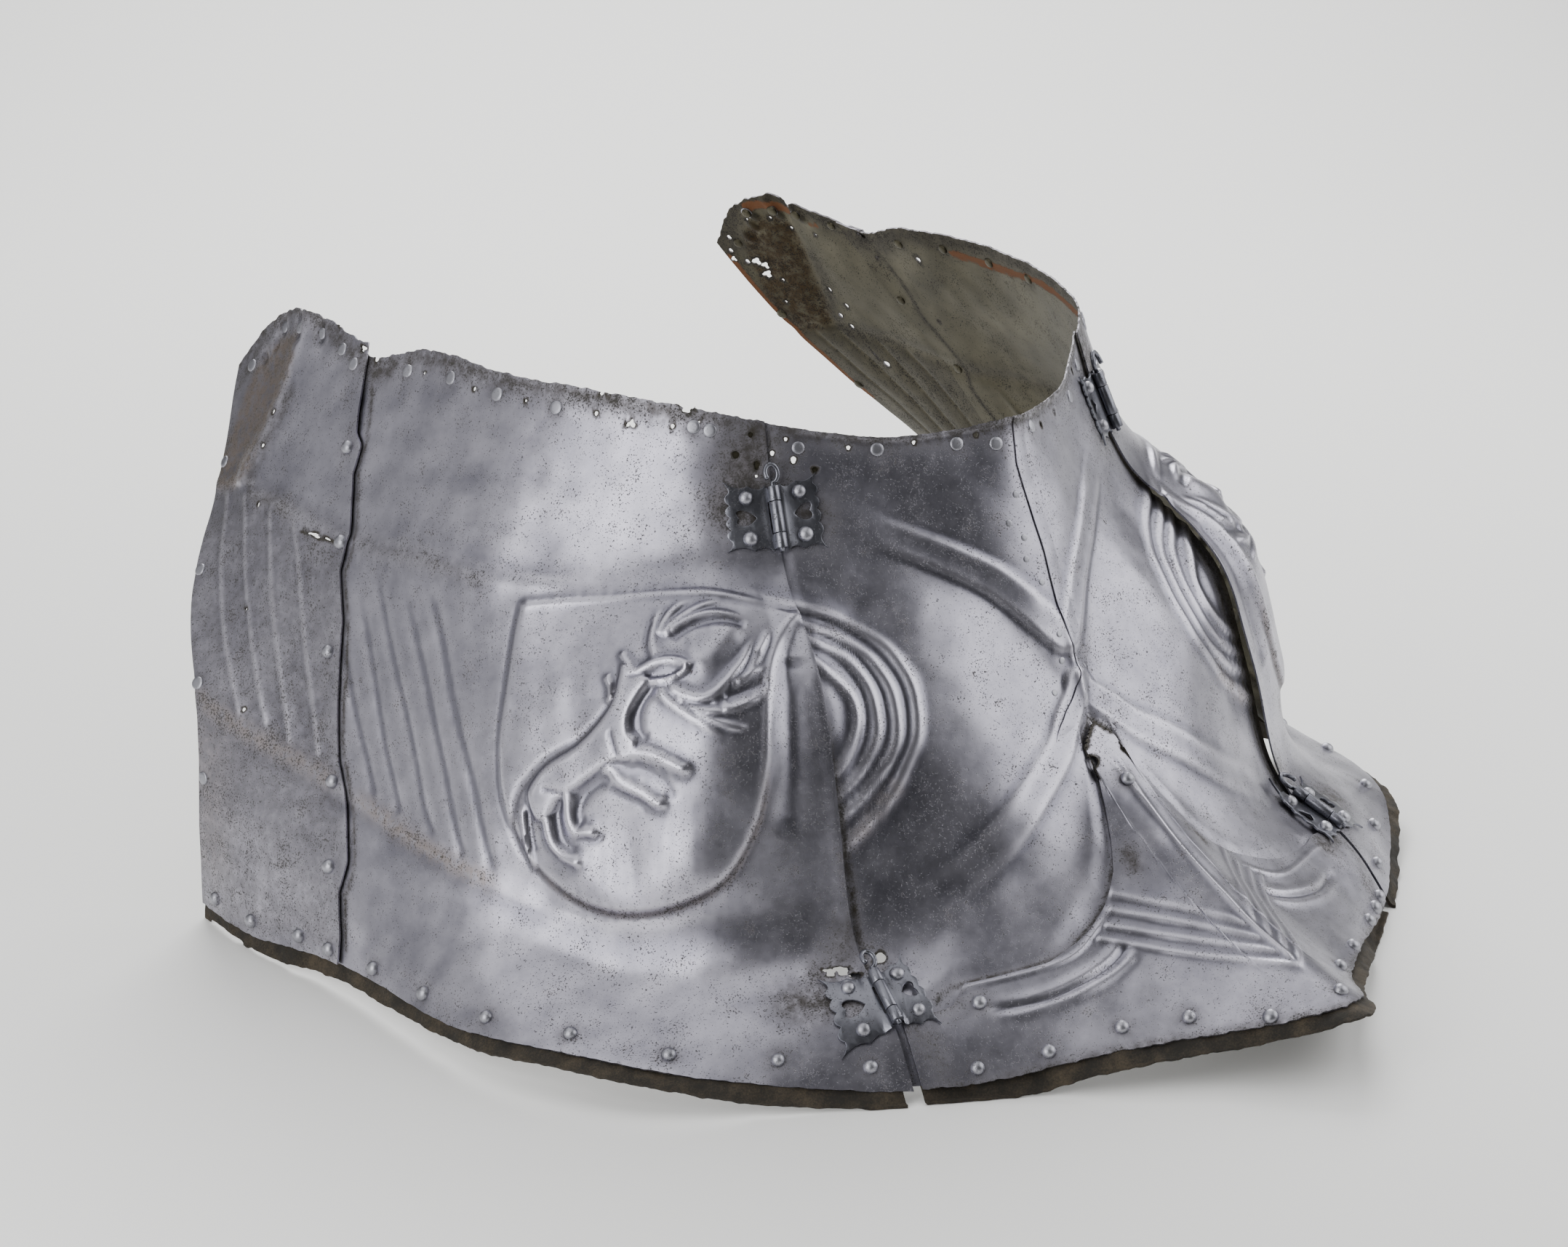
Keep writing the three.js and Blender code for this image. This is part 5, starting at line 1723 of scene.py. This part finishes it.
# The studio
@dataclass(frozen=True)
class Lamp:
    """A white softbox: where it stands, its width and height, its watts and what it faces."""

    name: str
    place: tuple[float, float, float]
    size: Place
    power: float
    aim: tuple[float, float, float] = (0, 0, 0.25)

    def build(self) -> None:
        """Adds the softbox to the scene."""
        data = bpy.data.lights.new(self.name, "AREA")
        data.shape = "RECTANGLE"
        data.size, data.size_y = self.size
        data.energy = self.power
        lamp = bpy.data.objects.new(self.name, data)
        bpy.context.scene.collection.objects.link(lamp)
        lamp.location = self.place
        away = Vector(self.aim) - Vector(self.place)
        lamp.rotation_euler = away.to_track_quat("-Z", "Y").to_euler()


@dataclass
class Studio:
    """Camera, lights and the pale paper sweep that the armour stands on.

    The paper starts at front, lies flat as far as flat, and then curves up by radius. Turn
    is its heading, which is the camera's.
    """

    eye: tuple[float, float, float] = (-2.9387, -2.9367, 1.7295)
    target: tuple[float, float, float] = (-0.0038, 0.1344, 0.2167)
    lens: float = 120.6
    paper: str = "#f1f1ef"
    front: float = -1.4
    flat: float = 2.0
    radius: float = 3.0
    half: float = 6.0
    turn: float = -43.7
    ambient: float = 0.06
    lamps: tuple[Lamp, ...] = (
        Lamp("left_softbox", (-2.05, -0.3, 0.95), (1.5, 1.8), 34),
        Lamp("left_back_panel", (-2.1, 2.1, 1.2), (2.8, 2.2), 12),
        Lamp("right_softbox", (1.57, -1.23, 1.4), (3.1, 2.2), 56),
        Lamp("overhead_softbox", (-0.4, 0.6, 2.7), (3.4, 3.0), 44, (0, 0, 0)),
        Lamp("back_softbox", (1.7, 2.1, 2.3), (2.6, 2.2), 140, (0, 0.2, 0)))

    def camera(self) -> None:
        """Puts the camera where the photograph was taken from."""
        data = bpy.data.cameras.new("camera")
        data.lens = self.lens
        data.sensor_width = 36
        data.sensor_fit = "HORIZONTAL"
        camera = bpy.data.objects.new("camera", data)
        bpy.context.scene.collection.objects.link(camera)
        camera.location = self.eye
        aim = Vector(self.target) - Vector(self.eye)
        camera.rotation_euler = aim.to_track_quat("-Z", "Y").to_euler()
        bpy.context.scene.camera = camera

    def _sweep(self) -> None:
        """Lays the matt white paper, which curves up behind the armour."""
        bm = bmesh.new()
        bmesh.ops.create_grid(bm, x_segments=2, y_segments=24, size=self.half)
        quarter = self.radius * math.pi / 2
        for vert in bm.verts:
            share = (vert.co.y + self.half) / (2 * self.half)
            run = self.front + share * (self.half - self.front)
            away = max(run - self.flat, 0.0)
            bend = min(away, quarter) / self.radius
            vert.co.y = min(run, self.flat) + self.radius * math.sin(bend)
            vert.co.z = self.radius * (1 - math.cos(bend)) + max(away - quarter, 0.0)
        heading = Matrix.Rotation(math.radians(self.turn), 3, "Z")
        bmesh.ops.rotate(bm, cent=(0, 0, 0), matrix=heading, verts=bm.verts)
        mesh = bpy.data.meshes.new("paper_sweep")
        bm.to_mesh(mesh)
        bm.free()
        mesh.polygons.foreach_set("use_smooth", np.ones(len(mesh.polygons), bool))
        sweep = bpy.data.objects.new("paper_sweep", mesh)
        bpy.context.scene.collection.objects.link(sweep)
        paper = bpy.data.materials.new("studio_paper")
        paper.use_nodes = True
        shader = paper.node_tree.nodes["Principled BSDF"]
        shader.inputs["Base Color"].default_value = linear(self.paper)
        shader.inputs["Roughness"].default_value = 0.9
        mesh.materials.append(paper)

    def build(self) -> None:
        """Builds the camera, the sweep, the world and the lamps."""
        self.camera()
        self._sweep()
        world = bpy.data.worlds.new("studio")
        world.use_nodes = True
        background = world.node_tree.nodes["Background"].inputs
        background["Color"].default_value = linear("#ffffff")
        background["Strength"].default_value = self.ambient
        bpy.context.scene.world = world
        for lamp in self.lamps:
            lamp.build()


def main() -> None:
    """Builds the studio and the armour, piece by piece."""
    logging.basicConfig(level=logging.INFO, format="%(message)s")
    Studio().build()
    LOG.info("studio")
    breast = CentrePlate().build()
    LOG.info("breast plate")
    flange = LowerFlange().build()
    LOG.info("breast flange")
    strip = LeatherStrip("breast_leather", "centre", "centre_leather",
                         spaced((-3.94, 3.94, 260))).build()
    LOG.info("breast leather")
    middle = Rivets("breast", "centre")
    middle.add(breast, NECK_RIVETS, Head.FLAT, breast)
    middle.add(breast, SEAM_RIVETS, Head.FLUSH)
    middle.back(breast, (NECK_STRAP_HOLE,))
    middle.add(flange, FLANGE_RIVETS[:2], Head.DOMED, breast)
    middle.add(flange, FLANGE_RIVETS[2:], Head.DOMED, strip)
    for side in Side:
        plate = FlankPlate(side).build()
        rear = RearExtension(side).build()
        hide = LeatherStrip(f"{side.word}_strip_leather", f"{side.word}_flank",
                            f"{side.word}_leather",
                            np.sort(side.value * spaced((4.08, 11.0, 300)))).build()
        LOG.info("%s side", side.word)
        rivets = Rivets(f"{side.word}_side", f"{side.word}_flank")
        if side is Side.RIGHT:
            rivets.back(plate, placed(side, FLANK_STRAP_HOLES))
        rivets.add(plate, placed(side, FLANK_RIVETS), Head.DOMED, hide)
        rivets.add(plate, placed(side, FLANK_TOP_RIVETS), Head.FLAT, plate)
        rivets.add(rear, placed(side, REAR_RIVETS[:4]), Head.DOMED, hide)
        rivets.add(rear, placed(side, REAR_RIVETS[4:]), Head.DOMED, plate)
        rivets.add(rear, placed(side, REAR_FLAT_RIVETS), Head.FLAT, rear)
        for upper, level in zip((True, False), HINGE_LEVELS[side]):
            Hinge(side, level, upper).build(middle, rivets)
        rivets.build()
        LOG.info("%s hinges and rivets", side.word)
    middle.build()
    LOG.info("breast rivets")


if __name__ == "__main__":
    main()
